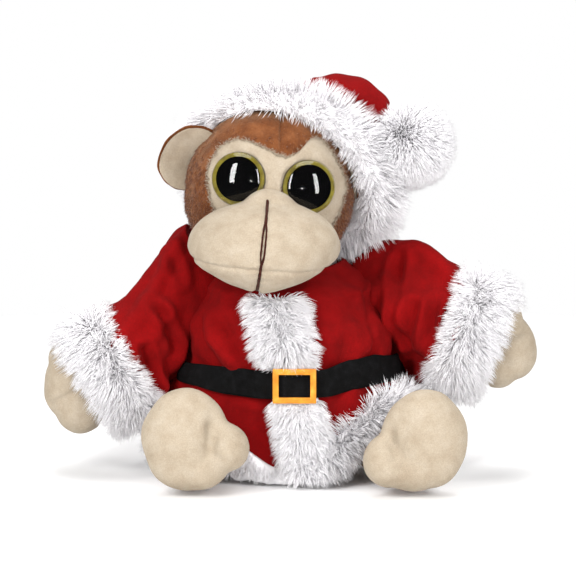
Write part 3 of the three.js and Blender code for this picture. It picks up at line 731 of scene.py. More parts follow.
def make_mouth_stitches(muzzle):
    """Embroidery: short slanted stitches down the middle, split in two half way down."""
    places, faces = [], []

    def stitch(a, b, radius):
        axis = unit(b - a)
        side = unit(np.cross(axis, vec(0, 1, 0)))
        up = np.cross(side, axis)
        start = sum(len(p) for p in places)
        rings = []
        for share, size in ((0, 0.35), (0.18, 0.9), (0.5, 1.0), (0.82, 0.9), (1, 0.35)):
            centre = a + (b - a) * share
            rings.append(ring_points(centre, side * radius * size, up * radius * size, 8))
        places.append(np.concatenate(rings))
        faces.extend(tuple(i + start for i in face) for face in tube_faces(5, 8, False))

    bpy.context.view_layer.update()
    z = 135.0
    while z > 91:
        gap = 0.85 * float(smooth(132 - z, 0, 10) * smooth(z, 107, 114))
        for offset in ([-gap, gap] if gap > 0.35 else [0]):
            x0, x1 = float(seam_x(z)) + offset - 0.25, float(seam_x(z - 2.0)) + offset + 0.25
            y0, y1 = surface_y(muzzle, x0, z), surface_y(muzzle, x1, z - 2.0)
            if y0 is not None and y1 is not None:
                stitch(vec(x0, y0 - 0.1, z), vec(x1, y1 - 0.1, z - 2.0), 0.7 if gap < 0.35 else 0.42)
        z -= 0.85
    made = mesh_object("mouth_embroidery", np.concatenate(places), faces, [THREAD])
    outward(made)
    finish_piece(made, ["mouth_stitch"], "head")


def lathe(name, profile, materials, matrix, sides=72, bands=None):
    """A turned piece: profile is (radius, height) pairs from the axis to the axis, height along local -Y."""
    places, faces, slots = [], [], []
    for radius, height in profile:
        if radius < 1e-6:
            places.append((0, -height, 0))
        else:
            places += [(radius * math.cos(t), -height, radius * math.sin(t))
                       for t in full_turn(sides)]
    start = 0
    for k in range(len(profile) - 1):
        a_is_point, b_is_point = profile[k][0] < 1e-6, profile[k + 1][0] < 1e-6
        after = start + (1 if a_is_point else sides)
        for i in range(sides):
            j = (i + 1) % sides
            if a_is_point:
                faces.append((start, after + i, after + j))
            elif b_is_point:
                faces.append((start + j, start + i, after))
            else:
                faces.append((start + i, start + j, after + j, after + i))
            slots.append(bands[k] if bands else 0)
        start = after
    spin = np.array(matrix)
    places = np.array(places) @ spin[:3, :3].T + spin[:3, 3]
    made = mesh_object(name, places, faces, materials, slots)
    outward(made)
    return made


def make_eye(side):
    place = eye_matrix(side)
    r = EYE_RADIUS
    painted = [(0, 0.15), (r * 0.775, 0.15), (r * 0.785, 0.5), (r * 0.80, 0.6), (r * 0.93, 0.42),
               (r * 0.965, 0.2),
               (r, -0.4), (r, -1.6), (r * 0.97, -1.8), (2.6, -1.8), (2.6, -11), (0, -11)]
    # Slot 2 paints the ring's outer rim dark olive, as painted shade of its rounded edge.
    bands = [1, 1, 0, 0, 2, 2, 2, 1, 1, 1, 1]
    back = lathe(f"eye_back_{side}", painted, [EYE_RING, PUPIL, EYE_EDGE_PAINTED_SHADE], place, bands=bands)
    finish_piece(back, [f"eye_iris_{side}"], "head")
    dome = [(0, -0.9), (r * 0.9, -0.9), (r * 0.99, -0.7), (r * 1.01, 0.0), (r * 1.01, 0.8)]
    for step in range(1, 13):
        angle = step / 12 * math.pi / 2
        dome.append((r * 1.01 * math.cos(angle) if step < 12 else 0, 0.8 + 5.6 * math.sin(angle)))
    lens = lathe(f"eye_dome_{side}", dome, [LENS], place)
    finish_piece(lens, [f"eye_lens_{side}"], "head")
    washer = [(3.0, -9.5), (7.0, -9.5), (7.0, -8.9), (6.4, -7.9), (3.4, -7.7), (3.0, -8.2), (3.0, -9.5)]
    lock = lathe(f"eye_lock_{side}", washer, [NYLON], place, 32)
    finish_piece(lock, [f"eye_washer_{side}"], "head")


# ---- ears ----

EAR = vec(-50, -3, 146.5)
EAR_ROLL = math.radians(40)


def make_standing_ear():
    """Two sewn layers, cupped forward, with the brown back showing as a rim round the lining."""
    roll = np.array(Matrix.Rotation(EAR_ROLL, 3, "Y"))

    def layer(name, radii, cup, shift, material, node, slot):
        places, faces = ball(radii, (0, 0, 0), 64, 40)
        reach = np.clip((places[:, 0] / radii[0]) ** 2 + (places[:, 2] / radii[2]) ** 2, 0, 1)
        pit = np.exp(-((places[:, 0] - 7) ** 2 + (places[:, 2] + 1) ** 2) / 45)
        places[:, 1] += shift - cup * reach + 2.2 * smooth(places[:, 0], 2, 14) + 4.2 * pit
        places[:, 0] -= 1.2 * smooth(places[:, 2], -4, -16)
        made = mesh_object(name, places @ roll.T + EAR + vec(3.8, 0, 0.6), faces, [material])
        outward(made)
        push(made, lambda p, n: 0.3 * wave(p, 11, 31))
        finish_piece(made, [node], "ear")

    layer("ear_back_plush", (15.0, 1.9, 16.8), 7.0, 1.6, BROWN_PLUSH, "ear_back_right", "brown_plush")
    layer("ear_lining_plush", (14.1, 1.7, 15.9), 7.4, -0.7, BEIGE_PLUSH, "ear_lining_right", "beige_plush")


def make_pressed_ear():
    """The other ear lies flat on the head under the hat."""
    def layer(name, radius, inner, outer, material, node, slot):
        rows, steps = 10, 48
        turn = full_turn(steps)
        sheets = []
        for lift in (outer, inner):
            rings = []
            for row in range(1, rows + 1):
                y = 2 + np.cos(turn) * radius * row / rows
                z = 140 + np.sin(turn) * radius * row / rows
                radii = HEAD_RADII + lift
                x = HEAD[0] + radii[0] * np.sqrt(
                    np.clip(1 - ((y - HEAD[1]) / radii[1]) ** 2 - ((z - HEAD[2]) / radii[2]) ** 2, 0, 1))
                rings.append(np.stack([x, y, z], axis=1))
            sheets.append(rings)
        made = lofted(name, sheets[0] + sheets[1][::-1], [material])
        finish_piece(made, [node], "head")

    layer("pressed_ear_lining", 14.6, 0.5, 1.7, BEIGE_PLUSH, "ear_lining_left", "beige_plush")
    layer("pressed_ear_back", 15.0, 2.0, 3.3, BROWN_PLUSH, "ear_back_left", "brown_plush")


make_head()
make_face_patch()
muzzle = make_muzzle()
make_mouth_stitches(muzzle)
for eye_side in EYES:
    make_eye(eye_side)
make_standing_ear()
make_pressed_ear()


# ---- body under the coat ----

def make_body():
    places, faces = ball((36.6, 30.6, 57.5), (0, 2, 40), 96, 64)
    places[:, 2] = np.clip(places[:, 2], 2.6, 91.3)
    torso = mesh_object("torso_plush", places, faces, [BROWN_PLUSH])
    push(torso, lambda p, n: 0.5 * wave(p, 30, 41) * (np.abs(n[:, 2]) < 0.9))
    clip_low(torso, 2.6)
    finish_piece(torso, ["torso"], "trunk")
    places, faces = ball((13.8, 10.8, 9.3), (0, 12, 13.5), 48, 32)
    bag = mesh_object("bean_bag_canvas", places, faces, [CANVAS])
    push(bag, lambda p, n: 0.35 * wave(p, 5, 42))
    finish_piece(bag, ["bean_bag"], "trunk")
    panel = bpy.data.objects["seat_panel"]
    for material_slot in panel.material_slots:
        material_slot.material = BROWN_PLUSH


LEGS = {
    "right": (-1, vec(-24, -6, 15.5), vec(-46, -82, 26)),
    "left": (1, vec(26, -6, 15.5), vec(58, -84, 25.6)),
}


def make_leg(side):
    sign, hip, foot = LEGS[side]
    ankle = foot + vec(-sign * 2, 11, -11)
    lumps = [((12.5 - 1.5 * t,) * 3, hip + (ankle - hip) * t, 0) for t in np.linspace(0, 1, 9)]
    leg = merged_lumps(f"leg_plush_{side}", lumps, BROWN_PLUSH, 1.5, 4)
    clip_low(leg, 2.0)
    finish_piece(leg, [f"leg_{side}"], f"{side}_leg")


FOOT_LUMPS = {
    "right": [((20.5, 12.5, 24.3), (-2.8, 0, 0.6)), ((11.5, 10.5, 11.5), (15.5, -1.5, -3)),
              ((15, 11, 14), (3.5, -0.5, -9))],
    "left": [((20.3, 12.5, 23.5), (4.8, 0, 1.6)), ((12.5, 10.5, 12.5), (-12, -1.5, -8.5)),
             ((15, 11, 14), (-1, -0.5, -9.5))],
}
FOOT_TUCKS = {
    "right": [(9.5, -12, 9), (9, -12, -4)],
    "left": [(-12.5, -12, 5), (-8, -12, -4)],
}


def make_foot(side):
    """A mitten shaped sole facing forward, with a toe lobe on the inner side and a tuck beside it."""
    sign, _, foot = LEGS[side]
    lumps = [(radii, foot + vec(*shift), 0) for radii, shift in FOOT_LUMPS[side]]
    made = merged_lumps(f"foot_plush_{side}", lumps, BEIGE_PLUSH, 1.2, 12)
    high, low = (foot + vec(*place) for place in FOOT_TUCKS[side])

    def shape(p, n):
        away, along = near_line(p * vec(1, 0, 1), high * vec(1, 0, 1), low * vec(1, 0, 1))
        front = smooth(foot[1] - 3 - p[:, 1], 0, 5)
        pit = -3.0 * falloff(away, 2.2) * (1 - 0.4 * along) - 1.5 * falloff(away, 7.5)
        turn = np.arctan2(p[:, 2] - low[2], p[:, 0] - low[0])
        rays = 0.3 * np.cos(7 * turn + 0.6) * falloff(away - 6.5, 4.5)
        seam = -0.55 * falloff(p[:, 1] - foot[1] - 3.0, 0.9)
        return (pit + rays) * front + seam + 0.45 * wave(p, 24, 51 + sign) + 0.2

    push(made, shape)
    clip_low(made, 0.4)
    finish_piece(made, [f"foot_{side}"], f"{side}_leg")


# ---- coat ----

COAT_ROWS = np.array([[0.8, 57, 60, 43], [20, 57.5, 61, 43], [36, 57.5, 60, 43], [47, 53, 57, 41.5],
                      [56, 50, 56.5, 41],
                      [66, 49, 56, 41], [86, 42.5, 45, 38], [100, 24, 26, 24]])
WAIST = 48.6
SIDE_SEAM = 0.26
CLOTH = 2.4


def coat_rows(height):
    height = np.asarray(height, float)
    k = np.clip(np.searchsorted(COAT_ROWS[:, 0], height, side="right") - 1, 0, len(COAT_ROWS) - 2)
    low, high = COAT_ROWS[k], COAT_ROWS[k + 1]
    t = smooth((height - low[..., 0]) / (high[..., 0] - low[..., 0]), 0, 1)
    return [low[..., i] + (high[..., i] - low[..., i]) * t for i in (1, 2, 3)]


def coat_place(turn, height, offset=0.0):
    half_width, front, back = coat_rows(height)
    deep = np.where(np.sin(turn) < 0, front, back) + offset
    return np.stack([(half_width + offset) * np.cos(turn), deep * np.sin(turn),
                     np.broadcast_to(height, np.shape(deep * np.sin(turn)))], axis=-1)


def trim_middle(height):
    return 9 - 16 * (np.asarray(height) - 9) / 78


def trim_turn(height):
    return -math.pi / 2 + trim_middle(height) / coat_rows(height)[0]


def hem_place(turn):
    cos, sin = np.cos(turn), np.sin(turn)
    front = np.maximum(0, -sin)
    rise = smooth(np.abs(cos - 0.05), 0.05, 0.78) * smooth(front, 0.02, 0.4)
    lift = np.where(cos < 0.05, 22.5, 25.5)
    return np.stack([59 * cos, np.where(sin < 0, 62, 46) * sin, 8.2 + lift * rise], axis=-1)


NECK_AXIS = vec(-6, 0, 0)


def turned_about_neck(place, degrees):
    a = math.radians(degrees)
    x, y = place[0] - NECK_AXIS[0], place[1] - NECK_AXIS[1]
    return vec(NECK_AXIS[0] + x * math.cos(a) - y * math.sin(a),
               NECK_AXIS[1] + x * math.sin(a) + y * math.cos(a),
               place[2])


def brim_place(turn):
    turn = np.asarray(turn, float)
    near_ear = falloff(turn - math.radians(155), math.radians(28))
    rise = np.where(np.sin(turn) > 0, 44.5, 27)
    below_ear = falloff(turn - math.radians(194), math.radians(27))
    return np.stack([-5 + 44 * np.cos(turn) + 7.5 * below_ear,
                     6 - 8 * np.cos(turn) - 15 * np.sin(turn) + 14 * near_ear,
                     128.5 + rise * np.sin(turn)], axis=-1)


BRIM_LINE = brim_place(np.linspace(0, 2 * math.pi, 120, endpoint=False))


def clear_of_head(places):
    """Keeps cloth below the head and the turning muzzle, and out of the hat's fur brim."""
    shape = places.shape
    p = places.reshape(-1, 3).copy()
    blockers = [(turned_about_neck(HEAD, a), HEAD_RADII + 2.6) for a in (-12, 0, 12)]
    blockers += [(turned_about_neck(MUZZLE, a), vec(36.5, 30, 23.4)) for a in (-12, -6, 0, 6, 12)]
    for centre, radii in blockers:
        room = 1 - ((p[:, 0] - centre[0]) / radii[0]) ** 2 - ((p[:, 1] - centre[1]) / radii[1]) ** 2
        limit = centre[2] - radii[2] * np.sqrt(np.maximum(room, 0))
        hit = (room > 0) & (p[:, 2] > limit) & (p[:, 2] < centre[2] + 5)
        p[hit, 2] = limit[hit]
    gap = np.linalg.norm(p[:, None] - BRIM_LINE[None], axis=2)
    nearest = BRIM_LINE[gap.argmin(axis=1)]
    away = p - nearest
    size = np.linalg.norm(away, axis=1)
    hit = size < 11.5
    p[hit] = nearest[hit] + away[hit] / np.maximum(size[hit], 1e-6)[:, None] * 11.5
    return p.reshape(shape)


def grid_normals(grid, around):
    if around:
        across = np.roll(grid, -1, axis=1) - np.roll(grid, 1, axis=1)
    else:
        across = np.gradient(grid, axis=1)
    return unit(np.cross(across, np.gradient(grid, axis=0)))


def shell(name, outer, inner, materials, around):
    """Cloth with a thickness, from two grids of places."""
    rows, columns = outer.shape[:2]
    offset = rows * columns
    faces = []
    last = columns if around else columns - 1
    for r in range(rows - 1):
        for c in range(last):
            d = (c + 1) % columns
            a, b, e, f = r * columns + c, r * columns + d, (r + 1) * columns + d, (r + 1) * columns + c
            faces.append((a, b, e, f))
            faces.append((offset + f, offset + e, offset + b, offset + a))
    for c in range(last):
        d = (c + 1) % columns
        faces.append((offset + c, offset + d, d, c))
        top = (rows - 1) * columns
        faces.append((top + c, top + d, offset + top + d, offset + top + c))
    if not around:
        for r in range(rows - 1):
            a, b = r * columns, (r + 1) * columns
            faces.append((a, b, offset + b, offset + a))
            a, b = a + columns - 1, b + columns - 1
            faces.append((b, a, offset + a, offset + b))
    made = mesh_object(name, np.concatenate([outer.reshape(-1, 3), inner.reshape(-1, 3)]), faces, materials)
    outward(made)
    return made


# Creases across the coat: start, end, height and width; a valley has a negative height.
COAT_CREASES = [
    ((-54, -22, 99), (-15, -57, 54), -3.6, 3.6),
    ((-58, -10, 92), (-32, -50, 50), -3.4, 3.6),
    ((-40, -40, 70), (-52, -30, 52), -2.0, 3.2),
    ((16, -46, 92), (20, -58, 54), 1.8, 5.0),
    ((30, -44, 92), (27, -54, 52), -2.0, 3.6),
    ((45, -30, 66), (30, -50, 50), -2.4, 3.4),
    ((-30, -52, 40), (-40, -50, 26), -2.0, 4.0),
    ((20, -56, 40), (24, -56, 22), -2.2, 3.6),
    ((36, -48, 42), (44, -42, 32), -2.0, 3.6),
    ((-20, 42, 92), (-30, 44, 10), 2.8, 7.0),
    ((22, 42, 92), (34, 42, 10), 2.6, 7.0),
    ((2, 42, 84), (4, 44, 20), -2.4, 6.0),
]


def coat_folds(places):
    p = places.reshape(-1, 3)
    total = 1.8 * wave(p, 40, 61) + 0.7 * wave(p, 17, 62)
    for a, b, size, width in COAT_CREASES:
        away, along = near_line(p, a, b)
        fade = np.sin(np.clip(along * 0.8 + 0.12, 0, 1) * math.pi)
        total += size * fade * (falloff(away, width) - 0.45 * falloff(away - 1.9 * width, width))
    turn = np.arctan2(p[:, 1], p[:, 0])
    near_belt = np.exp(-np.abs(p[:, 2] - WAIST - 0.03 * p[:, 0]) / 8.0)
    total += 1.0 * np.sin(23 * turn + 1.3 * np.sin(3 * turn)) * near_belt
    pinch = falloff(p[:, 2] - WAIST - 0.03 * p[:, 0], 5.0)
    puff = falloff(p[:, 2] - WAIST - 14, 8.0)
    total = total * (1 - 0.75 * pinch) - 1.2 * pinch + 1.3 * puff
    under_trim = falloff(p[:, 0] - trim_middle(p[:, 2]), 13) * (p[:, 1] < -20)
    armhole = falloff(p[:, 0] - 35 - 0.07 * (100 - p[:, 2]), 1.3) * (p[:, 1] < 0) * smooth(p[:, 2], 50, 56)
    total = total * (1 - 0.8 * under_trim) - 1.2 * armhole
    return total.reshape(places.shape[:-1])


COAT_TOP = 98.0
# How far the cloth reaches below the hem's middle line, and how finely a panel is drawn.
BELOW_HEM = 1.5
PANEL_COLUMNS = 120
PANEL_ROWS = 96


def make_coat_panel(name, node, turns):
    """turns gives the panel's two side edges as functions of height."""
    share = np.linspace(0, 1, PANEL_COLUMNS)
    steps = np.linspace(0, 1, PANEL_ROWS)
    guess = turns(np.full(PANEL_COLUMNS, 20.0), share)
    low = hem_place(guess)[:, 2] - BELOW_HEM
    heights = low[None] + (COAT_TOP - low[None]) * steps[:, None]
    turn = turns(heights, share[None])
    base = coat_place(turn, heights)
    normals = grid_normals(base, False)
    if ((base - vec(0, 0, 40)) * normals).sum() < 0:
        normals = -normals
    edge = np.minimum(share, 1 - share) * PANEL_COLUMNS
    tuck = 0.9 * falloff(edge, 1.2)
    outer = base + normals * (coat_folds(base) - tuck[None])[..., None]
    outer = clear_of_head(outer)
    lip = 1 - 0.6 * falloff(steps * PANEL_ROWS, 1.2)
    inner = outer - normals * (CLOTH * lip)[:, None, None]
    outer[..., 2] = np.maximum(outer[..., 2], 0.9)
    inner[..., 2] = np.maximum(inner[..., 2], 0.9)
    made = shell(name, outer, inner, [RED_VELOUR], False)
    finish_piece(made, [node], "trunk")
    return made


def make_coat():
    make_coat_panel("coat_front_left_cloth", "coat_front_left",
                    lambda z, s: trim_turn(z) + (SIDE_SEAM - trim_turn(z)) * s)
    make_coat_panel("coat_front_right_cloth", "coat_front_right",
                    lambda z, s: -math.pi - SIDE_SEAM + (trim_turn(z) + math.pi + SIDE_SEAM) * s)
    make_coat_panel("coat_back_cloth", "coat_back",
                    lambda z, s: SIDE_SEAM + (math.pi - 2 * SIDE_SEAM) * s + 0 * z)


# ---- sleeves, arms and hands ----

ARMS = {
    "right": dict(
        side=-1, pivot=vec(-43, 5, 83), cuff=vec(-84, -20, 50), hand=vec(-103, -22, 39), droop=33,
        tops=[(-34, 104), (-46, 114.5), (-54, 111.5), (-63, 100), (-74, 87), (-85, 77.5)],
        lows=[(-34, 54), (-42, 47), (-49, 41.5), (-55, 38.5), (-60, 37), (-64, 35.5)],
        depths=[17, 20, 22, 21.5, 21, 20], ys=[3, 2, 0, -6, -12, -17],
        start=(-0.044, 0.001, 0.084), end=(-0.070, -0.012, 0.062),
        creases=[((-73, -30, 90), (-60, -30, 77)), ((-60, -30, 77), (-53, -26, 60)),
                 ((-53, -26, 60), (-57, -26, 48)),
                 ((-88, -34, 80), (-80, -40, 68)), ((-80, -40, 68), (-79, -40, 56)),
                 ((-68, -34, 60), (-62, -30, 42)),
                 ((-58, -14, 106), (-50, -24, 92))]),
    "left": dict(
        side=1, pivot=vec(38, 4, 79), cuff=vec(84, -20, 67), hand=vec(102, -22, 60), droop=20,
        tops=[(28, 98), (38, 103.5), (49, 103.5), (60, 104.5), (71, 102), (80, 97)],
        lows=[(28, 58), (37, 50), (46, 46), (54, 43.5), (61, 42), (67, 42)],
        depths=[16, 19, 20.5, 21, 20.5, 20], ys=[3, 2, -1, -6, -11, -16],
        start=(0.040, 0.002, 0.080), end=(0.066, -0.010, 0.072),
        creases=[((43, -22, 92), (40, -22, 64)), ((50, -12, 103), (53, -26, 62)),
                 ((58, -30, 80), (54, -26, 50)),
                 ((68, -34, 92), (64, -36, 58)), ((76, -38, 84), (70, -36, 50))]),
}


def arm_axes(arm):
    droop = math.radians(arm["droop"])
    return (vec(arm["side"] * math.cos(droop), 0, -math.sin(droop)),
            vec(arm["side"] * math.sin(droop), 0, math.cos(droop)))


def make_sleeve(side, arm):
    out, across = arm_axes(arm)
    end = arm["cuff"] - out * 5.5
    tops = [vec(x, y, z) for (x, z), y in zip(arm["tops"], arm["ys"])] + [end + across * 24.2]
    lows = [vec(x, y, z) for (x, z), y in zip(arm["lows"], arm["ys"])] + [end - across * 24.2]
    depths = list(arm["depths"]) + [18.6]
    rows, columns = 76, 150
    knots = np.linspace(0, 1, len(tops))
    steps = np.linspace(0, 1, rows)

    def along(values):
        values = np.array(values, float)
        dense = np.linspace(0, 1, 400)
        line = np.stack([np.interp(dense, knots, values[:, i]) for i in range(values.shape[1])], axis=1)
        kernel = np.hanning(61) / np.hanning(61).sum()
        padded = np.pad(line, ((30, 30), (0, 0)), mode="edge")
        soft = np.stack([np.convolve(padded[:, i], kernel, "valid") for i in range(line.shape[1])], axis=1)
        return np.stack([np.interp(steps, dense, soft[:, i]) for i in range(line.shape[1])], axis=1)

    top, low, depth = along(tops), along(lows), along([[d] for d in depths])
    middle, half = (top + low) / 2, (top - low) / 2
    turn = full_turn(columns)
    cos, sin = np.cos(turn), np.sin(turn)
    square = 1 + 0.05 * np.cos(4 * turn)
    grid = middle[:, None] + half[:, None] * (cos * square)[None, :, None] \
        + vec(0, 1, 0) * depth[:, None] * (sin * square)[None, :, None]
    normals = grid_normals(grid, True)
    if ((grid - middle[:, None]) * normals).sum() < 0:
        normals = -normals
    u, v = steps[:, None], turn[None]
    seed = 71 if side == "right" else 75
    noise = wave(grid.reshape(-1, 3), 38, seed).reshape(rows, columns)
    fine = wave(grid.reshape(-1, 3), 15, seed + 1).reshape(rows, columns)
    bell = np.sin(np.clip(u, 0, 1) * math.pi)
    ridges = np.maximum(0, np.sin(4 * v + 5.2 * u + seed)) ** 1.6 * 3.4 * bell
    drag = np.maximum(0, np.cos(3 * v - 6.5 * u + 1.1)) ** 2.2 * 2.4 * bell
    gathers = 1.0 * np.sin(15 * v + 2 * np.sin(2 * v)) * smooth(u, 0.72, 1.0)
    under = 2.4 * np.sin(u * 22 + 2 * np.sin(v)) * smooth(-cos, 0.2, 0.9)[None] * bell
    folds = 1.2 * noise + 0.5 * fine + ridges + drag + gathers + under - 1.6
    for a, b in arm["creases"]:
        away, _ = near_line(grid.reshape(-1, 3), a, b)
        away = away.reshape(rows, columns)
        folds += 1.8 * falloff(away - 5.5, 2.6) - 3.8 * falloff(away, 2.3)
    outer = clear_of_head(grid + normals * folds[..., None])
    inner = outer - normals * CLOTH
    made = shell(f"sleeve_cloth_{side}", outer, inner, [RED_VELOUR], True)
    finish_piece(made, [f"sleeve_{side}"], None)
    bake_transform(made)


def make_arm(side, arm):
    out, _ = arm_axes(arm)
    wrist = arm["cuff"] + out * 5
    lumps = [((11.3, 11.3, 11.3), arm["pivot"] + (wrist - arm["pivot"]) * t, 0)
             for t in np.linspace(0, 1, 8)]
    made = merged_lumps(f"arm_plush_{side}", lumps, BROWN_PLUSH, 1.6, 4)
    finish_piece(made, [f"arm_{side}"], f"{side}_arm")


HAND_LUMPS = {
    "right": [((12.5, 12.5, 17.5), (-103.5, -22, 42.5), 12), ((12.0, 12.0, 12.5), (-99, -22.5, 30.5), 0),
              ((9.0, 9.5, 9.5), (-104.5, -23, 54), 0), ((10.5, 11, 12), (-94, -21, 42), 0)],
    "left": [((12.0, 12.5, 16.5), (104, -22, 60), -16), ((8.0, 9.0, 10.0), (101.5, -24, 73.5), -10),
             ((11.0, 11.5, 12.0), (98, -22, 52), 0), ((10.5, 11, 12), (94, -21, 61), 0)],
}


def make_hand(side, arm):
    made = merged_lumps(f"hand_plush_{side}", HAND_LUMPS[side], BEIGE_PLUSH, 1.1, 10)
    s = arm["side"]
    if side == "right":
        a, b = vec(-113, -36, 33), vec(-99, -36, 41)
    else:
        a, b = vec(110, -37, 68.5), vec(99, -37, 66)

    def shape(p, n):
        away, _ = near_line(p * vec(1, 0, 1), a * vec(1, 0, 1), b * vec(1, 0, 1))
        crease = -1.6 * falloff(away, 1.9) * smooth(-p[:, 1], 22, 28)
        seam = -0.5 * falloff(p[:, 1] + 21.5, 0.9)
        return crease + seam + 0.4 * wave(p, 20, 81 + s) + 0.2

    push(made, shape)
    finish_piece(made, [f"hand_{side}"], f"{side}_arm")


def fur_whites(tag):
    return tones(f"white_fur_{tag}", WHITES, 0.8, 0.05, 0.1)


def outside(places, centre, radii):
    return (((places - centre) / radii) ** 2).sum(axis=1) > 1


# Half the height and half the depth of a cuff's band.
CUFF_HIGH = 24
CUFF_DEEP = 18


def make_cuff(side, arm):
    out, across = arm_axes(arm)
    depth = vec(0, 1, 0)
    rings = []
    for along, grow in ((-8, -1.5), (-7, 0.6), (-3, 1.6), (3, 1.6), (7, 0.4), (8.5, -1.6),
                        (7.5, -3.8), (0, -4.6), (-7, -4.2)):
        rings.append(ring_points(arm["cuff"] + out * along,
                                 across * (CUFF_HIGH + grow), depth * (CUFF_DEEP + grow), 96))
    backing = lofted(f"cuff_backing_{side}", rings, [FUR_BACKING], closed=True)
    push(backing, lambda p, n: 0.5 * wave(p, 13, 85))
    finish_piece(backing, [f"cuff_{side}"], f"{side}_arm")
    rng = np.random.default_rng(91 if side == "right" else 92)
    axis = arm["cuff"]

    def keep(p):
        flat = p - axis - np.outer((p - axis) @ out, out)
        reach = np.hypot((flat @ across) / CUFF_HIGH, (flat @ depth) / CUFF_DEEP)
        return reach > 0.93

    roots, normals = scatter(backing, hairs(11000), rng, keep)
    along = (roots - axis) @ out
    ways = normals * 0.72 + out * (0.28 + 0.085 * along)[:, None] + vec(0, 0, -0.12)
    upper = smooth((roots - axis) @ across, 6, 22)
    lengths = rng.uniform(8.5, 13.5, len(roots)) * (0.82 + 0.2 * smooth(along, -6, 6)) * (1 + 0.12 * upper)
    made = fur(f"cuff_fur_{side}", roots - normals * 0.4, ways, lengths, vec(0, 0, -0.16), rng,
               fur_whites(f"cuff_{side}"), width=WHITE_HAIR, clump=0.62, clump_count=340, frizz=0.24)
    finish_piece(made, [], f"{side}_arm")


# ---- fur trim, belt and buckle ----

# Half the front trim's width, hairs included.
TRIM_HALF = 11.5


def make_front_trim():
    steps, across = 80, 22
    heights = np.linspace(7.5, 87, steps)
    pressed = smooth(np.abs(heights - WAIST) / 9.0, 1, 1.8)
    outers, inners = [], []
    for height, free in zip(heights, pressed):
        s = np.linspace(-1, 1, across)
        turn = trim_turn(height) + s * 10.5 / coat_rows(height)[0]
        bulge = (1.6 + 3.2 * free) * np.sqrt(np.clip(1 - (s * 0.98) ** 2, 0, 1)) + 0.3
        outers.append(coat_place(turn, np.full(across, height), 0.9 + bulge))
        inners.append(coat_place(turn, np.full(across, height), 0.2))
    outer, inner = clear_of_head(np.array(outers)), clear_of_head(np.array(inners))
    backing = shell("front_trim_backing", outer, inner, [FUR_BACKING], False)
    finish_piece(backing, ["front_trim"], "trunk")
    rng = np.random.default_rng(101)
    roots, normals = scatter(backing, hairs(11500), rng,
                             lambda p: np.abs(p[:, 2] - WAIST) > 7.5)
    front = normals[:, 1] < 0.2
    roots, normals = roots[front], normals[front]
    side = (roots[:, 0] - trim_middle(roots[:, 2])) / TRIM_HALF
    above = roots[:, 2] > WAIST
    near = np.exp(-(np.abs(roots[:, 2] - WAIST) - 7) / 4.5)
    ways = normals * 0.62 + np.stack([0.75 * side, np.full(len(side), -0.15),
                                      np.where(above, -0.25, -0.45)], axis=1)
    ways[:, 2] += np.where(above, 0.5, -0.3) * near
    lengths = rng.uniform(6.5, 9.5, len(roots)) * (1 - 0.3 * near) * np.where(above, 1.08, 0.85)
    tips = roots + unit(ways) * lengths[:, None]
    free = outside(tips, MUZZLE, vec(34, 28.5, 21.5))
    made = fur("front_trim_fur", (roots - normals * 0.4)[free], ways[free], lengths[free],
               vec(0, 0, -0.2), rng, fur_whites("front"),
               width=WHITE_HAIR, clump=0.66, clump_count=330, frizz=0.26)
    finish_piece(made, [], "trunk")


def hem_band(turn):
    """Middle line, half height and free lower edge of the fur band round the hem."""
    line = hem_place(turn)
    x = line[:, 0]
    lined = smooth(-x, -5, 6) * (1 - smooth(-x, 27, 35)) * (np.sin(turn) < 0)
    half = 6.2 * (1 - lined) + np.maximum(6.0, line[:, 2] / 2 - 0.6) * lined
    edge = line[:, 2].copy()
    line[:, 2] = line[:, 2] * (1 - lined) + (line[:, 2] / 2 + 0.6) * lined
    line[:, :2] *= (1 - 0.055 * lined)[:, None]
    flat = smooth(-x, 22, 29) * (1 - smooth(-x, 56, 59)) * (np.sin(turn) < 0)
    return line, half, edge, np.maximum(lined, 0.75 * flat)


